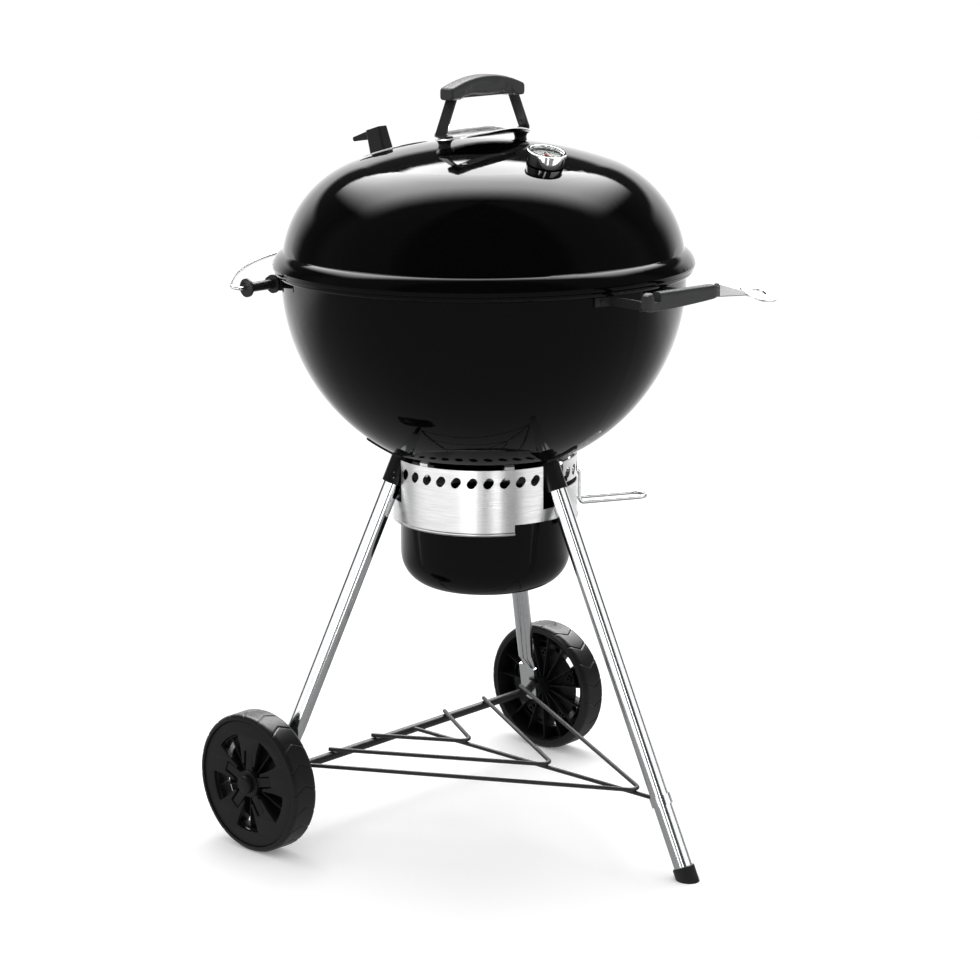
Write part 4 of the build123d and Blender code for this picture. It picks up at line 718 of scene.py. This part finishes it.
def makeLidGrip():
    sections = []
    for station in range(lidGrip["stations"] + 1):
        share = -1 + 2 * station / lidGrip["stations"]
        y = lidGrip["half"] * share
        atEnd = max(0, (abs(share) - 1 + lidGrip["endRound"]) / lidGrip["endRound"])
        shrink = 1 - atEnd ** 2 * lidGrip["endShrink"]
        top = lidGrip["endTop"] + lidGrip["rise"] * (1 - share ** 2)
        hollow = max(0, 1 - (y / lidGrip["reliefHalf"]) ** 2) ** lidGrip["reliefPower"]
        belly = lidGrip["bellyShare"] * max(0, 1 - (y / lidGrip["bellyHalf"]) ** 2)
        low = lidGrip["bottom"] + lidGrip["relief"] * hollow * (1 - belly)
        middle = (top + low) / 2
        section = []
        half, foot, crown = (lidGrip["width"] * shrink, middle + (low - middle) * shrink,
                             middle + (top - middle) * shrink)
        for x, z in roundedSection(half, foot, crown, lidGrip["around"], lidGrip["squareness"]):
            inset = min(lidGripInset(x, y, z, low, top), abs(x))
            section.append((x - math.copysign(inset, x), y, z))
        sections.append(section)
    piece = joinShapes("lidGripBody", [sweepSections(sections)], "greyNylon")
    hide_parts("lid_grip")
    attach(piece, "lid")


makeLidGrip()

# side grip: tapered bar with a tool notch near its heel and a rounded nose at the other end
sideGrip = {
    "x": 0.3526, "half": 0.075, "thick": 0.0078, "low": 0.7925, "high": 0.8178, "stations": 300, "around": 72,
    "squareness": 4.0, "topFall": 0.0035, "lowRise": 0.003, "belly": 0.0005,
    "heelStart": 0.9, "heelDrop": 0.0035, "heelLift": 0.0025, "heelThin": 0.2,
    "noseStart": 0.8, "noseDrop": 0.006, "noseLift": 0.003, "noseThin": 0.35,
    "notch": -0.0585, "notchHalf": 0.0062, "notchDeep": 0.0125, "notchLip": 0.0012, "notchFade": 0.0014,
}


def makeSideGrip():
    grip = sideGrip
    sections = []
    for station in range(grip["stations"] + 1):
        share = -1 + 2 * station / grip["stations"]
        y = grip["half"] * share
        fromHeel = (share + 1) / 2
        heel = max(0, (-share - grip["heelStart"]) / (1 - grip["heelStart"])) ** 2
        nose = max(0, (share - grip["noseStart"]) / (1 - grip["noseStart"])) ** 2
        top = grip["high"] - grip["topFall"] * fromHeel - grip["noseDrop"] * nose - grip["heelDrop"] * heel
        low = grip["low"] + grip["lowRise"] * fromHeel ** 2 - grip["belly"] * (1 - share ** 2)
        low += grip["noseLift"] * nose + grip["heelLift"] * heel
        thick = grip["thick"] * (1 - grip["noseThin"] * nose - grip["heelThin"] * heel)
        dip = limit((grip["notchHalf"] + grip["notchLip"] - abs(y - grip["notch"])) / grip["notchFade"])
        dip = dip * dip * (3 - 2 * dip)
        floor = top - grip["notchDeep"]
        section = []
        for x, z in roundedSection(thick, low, top, grip["around"], grip["squareness"]):
            section.append((grip["x"] + x, y, z - dip * max(0, z - floor)))
        sections.append(section)
    piece = joinShapes("sideGripBody", [sweepSections(sections)], "greyNylon")
    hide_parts("side_grip")
    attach(piece, "stand_and_bowl")


makeSideGrip()
print("grips made")

# studio: a wall behind and a soft box overhead that reflections see, a white room, a pale floor
studio = {
    "cameraTurn": 42.896, "cameraTilt": 76.962, "cameraRoll": -0.321, "cameraReach": 3.6626,
    "cameraHeight": 1.3386, "lens": 96.99, "sensor": 36, "shift": (0.0050, 0.00061), "farthest": 400,
    "room": 1.15, "front": 0.07,
    "softBox": 11.0, "boxFront": (0.02, 0.45), "boxBack": (1.45, 1.6), "boxFoot": (0.0, 0.1),
    "boxAcross": (0.35, 1.15), "wall": 1.6, "wallFacing": (0.6, 0.88), "wallTop": (0.27, 0.36),
    "sides": 0.12, "sidesFront": (-0.72, -0.5), "sidesBack": (0.15, 0.45),
    "floorReach": 120.0, "floorGrey": 0.955, "floorRoughness": 0.9, "floorLift": 0.15,
    "floorFade": (0.2, 2.4), "floorGlow": (0.3, 1.3),
}
fullToNone = (1.0, 0.0)
smallest = 0.01


def makeCamera():
    turn = math.radians(studio["cameraTurn"])
    data = bpy.data.cameras.new("studioCamera")
    data.lens = studio["lens"]
    data.sensor_width = studio["sensor"]
    data.shift_x, data.shift_y = studio["shift"]
    data.clip_end = studio["farthest"]
    camera = bpy.data.objects.new("studioCamera", data)
    place = Vector((studio["cameraReach"] * math.sin(turn), -studio["cameraReach"] * math.cos(turn),
                    studio["cameraHeight"]))
    aim = (Matrix.Rotation(turn, 4, "Z") @ Matrix.Rotation(math.radians(studio["cameraTilt"]), 4, "X")
           @ Matrix.Rotation(math.radians(studio["cameraRoll"]), 4, "Z"))
    camera.matrix_world = Matrix.Translation(place) @ aim
    bpy.context.scene.collection.objects.link(camera)
    bpy.context.scene.camera = camera


def makeRoom():
    # reflections see a wall behind, an overhead box and dim sides; everything else sees plain white
    turn = math.radians(studio["cameraTurn"])
    back = (-math.sin(turn), math.cos(turn), 0)
    right = (math.cos(turn), math.sin(turn), 0)
    world = bpy.data.worlds.new("studioRoom")
    bpy.context.scene.world = world
    world.use_nodes = True
    tree = world.node_tree
    tree.nodes.clear()
    coords = addNode(tree, "ShaderNodeTexCoord", -1200)
    direction = coords.outputs["Generated"]

    def along(axis):
        dot = addNode(tree, "ShaderNodeVectorMath", operation="DOT_PRODUCT")
        tree.links.new(direction, dot.inputs[0])
        dot.inputs[1].default_value = axis
        return dot.outputs["Value"]

    def over(top, bottom):
        return doMath(tree, "DIVIDE", top, doMath(tree, "MAXIMUM", bottom, smallest))

    up = along((0, 0, 1))
    behind = along(back)
    aside = doMath(tree, "ABSOLUTE", along(right))
    level = doMath(tree, "SQRT", doMath(tree, "SUBTRACT", 1.0, doMath(tree, "POWER", up, 2.0)))
    facing = over(behind, level)
    slope = over(behind, up)
    across = over(aside, up)
    boxEdge = doMath(tree, "MULTIPLY", ramp(tree, slope, *studio["boxFront"]),
                     ramp(tree, slope, *studio["boxBack"], *fullToNone))
    boxEdge = doMath(tree, "MULTIPLY", boxEdge, ramp(tree, up, *studio["boxFoot"]))
    boxEdge = doMath(tree, "MULTIPLY", boxEdge, ramp(tree, across, *studio["boxAcross"], *fullToNone))
    boxLight = doMath(tree, "MULTIPLY", boxEdge, studio["softBox"])
    wall = doMath(tree, "MULTIPLY", ramp(tree, facing, *studio["wallFacing"]),
                  ramp(tree, up, *studio["wallTop"], *fullToNone))
    wallLight = doMath(tree, "MULTIPLY", wall, studio["wall"])
    sides = doMath(tree, "MULTIPLY", ramp(tree, facing, *studio["sidesFront"]),
                   ramp(tree, facing, *studio["sidesBack"], *fullToNone))
    sideLight = doMath(tree, "MULTIPLY", sides, studio["sides"])
    total = doMath(tree, "ADD", doMath(tree, "ADD", boxLight, wallLight),
                   doMath(tree, "ADD", sideLight, studio["front"]))
    seen = addNode(tree, "ShaderNodeBackground")
    tree.links.new(total, seen.inputs["Strength"])
    plain = addNode(tree, "ShaderNodeBackground")
    plain.inputs["Strength"].default_value = studio["room"]
    path = addNode(tree, "ShaderNodeLightPath")
    mix = addNode(tree, "ShaderNodeMixShader")
    tree.links.new(path.outputs["Is Glossy Ray"], mix.inputs["Fac"])
    tree.links.new(plain.outputs[0], mix.inputs[1])
    tree.links.new(seen.outputs[0], mix.inputs[2])
    out = addNode(tree, "ShaderNodeOutputWorld")
    tree.links.new(mix.outputs[0], out.inputs["Surface"])


def makeFloor():
    # plain to every eye, but reflections see it dim in front and bright behind
    turn = math.radians(studio["cameraTurn"])
    material = bpy.data.materials.new("paleFloor")
    material.use_nodes = True
    tree = material.node_tree
    surface = tree.nodes["Principled BSDF"]
    surface.inputs["Base Color"].default_value = (*[studio["floorGrey"]] * 3, 1)
    surface.inputs["Roughness"].default_value = studio["floorRoughness"]
    surface.inputs["Specular IOR Level"].default_value = 0.0
    surface.inputs["Emission Color"].default_value = (1, 1, 1, 1)
    surface.inputs["Emission Strength"].default_value = studio["floorLift"]
    out = tree.nodes["Material Output"]
    path = addNode(tree, "ShaderNodeLightPath")
    glow = addNode(tree, "ShaderNodeEmission")
    coords = addNode(tree, "ShaderNodeTexCoord")
    back = addNode(tree, "ShaderNodeVectorMath", operation="DOT_PRODUCT")
    tree.links.new(coords.outputs["Object"], back.inputs[0])
    back.inputs[1].default_value = (-math.sin(turn), math.cos(turn), 0)
    brightness = ramp(tree, back.outputs["Value"], *studio["floorFade"], *studio["floorGlow"])
    tree.links.new(brightness, glow.inputs["Strength"])
    mix = addNode(tree, "ShaderNodeMixShader")
    tree.links.new(path.outputs["Is Glossy Ray"], mix.inputs["Fac"])
    tree.links.new(surface.outputs[0], mix.inputs[1])
    tree.links.new(glow.outputs[0], mix.inputs[2])
    tree.links.new(mix.outputs[0], out.inputs["Surface"])
    mesh = bpy.data.meshes.new("studioFloor")
    reach = studio["floorReach"]
    ground = cadBox[0].z
    corners = [(-reach, -reach, ground), (reach, -reach, ground), (reach, reach, ground),
               (-reach, reach, ground)]
    mesh.from_pydata(corners, [], [(0, 1, 2, 3)])
    mesh.materials.append(material)
    floor = bpy.data.objects.new("studioFloor", mesh)
    bpy.context.scene.collection.objects.link(floor)
    floor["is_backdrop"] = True


def makeLamp(name, spot, aim, size, power, receivers=None):
    data = bpy.data.lights.new(name, "AREA")
    data.shape = "RECTANGLE"
    data.size, data.size_y = size
    data.energy = power
    lamp = bpy.data.objects.new(name, data)
    facing = (Vector(aim) - Vector(spot)).to_track_quat("-Z", "Y")
    lamp.matrix_world = Matrix.Translation(spot) @ facing.to_matrix().to_4x4()
    bpy.context.scene.collection.objects.link(lamp)
    if receivers is None:
        lamp.visible_glossy = False
        return
    bright = bpy.data.collections.new(name + "Receivers")
    for piece in receivers:
        bright.objects.link(piece)
    lamp.light_linking.receiver_collection = bright
    lamp.visible_camera = False


# one lamp for everything, and four low panels beside the grill that light only its metals
overheadLamp = dict(spot=(-0.6, 0.7, 3.4), aim=(0, 0, 0.6), size=(2.4, 2.4), power=60)
panels = {
    "leftPanel": dict(spot=(-0.2, -1.25, 0.7), aim=(0, 0, 0.7), size=(2.4, 1.38), power=11.5),
    "rightPanel": dict(spot=(1.15, 0.45, 0.7), aim=(0, 0, 0.7), size=(1.2, 1.38), power=5.5),
    "leftStrip": dict(spot=(0.5, -1.05, 0.7), aim=(0, 0, 0.7), size=(0.13, 1.38), power=1.9),
    "rightStrip": dict(spot=(0.95, -0.66, 0.7), aim=(0, 0, 0.7), size=(0.13, 1.38), power=1.9),
}
metalFinishes = ("polishedTube", "brushedSheet", "brightLeaf", "satinAluminium", "zincWire", "platedSteel",
                 "brightChrome")
makeCamera()
makeRoom()
makeFloor()
makeLamp("overheadLamp", **overheadLamp)
metals = [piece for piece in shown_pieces()
          if piece.data.materials and piece.data.materials[0].name in metalFinishes]
for panelName, panel in panels.items():
    makeLamp(panelName, receivers=metals, **panel)
bpy.context.scene.view_settings.view_transform = "Standard"
print("studio ready")
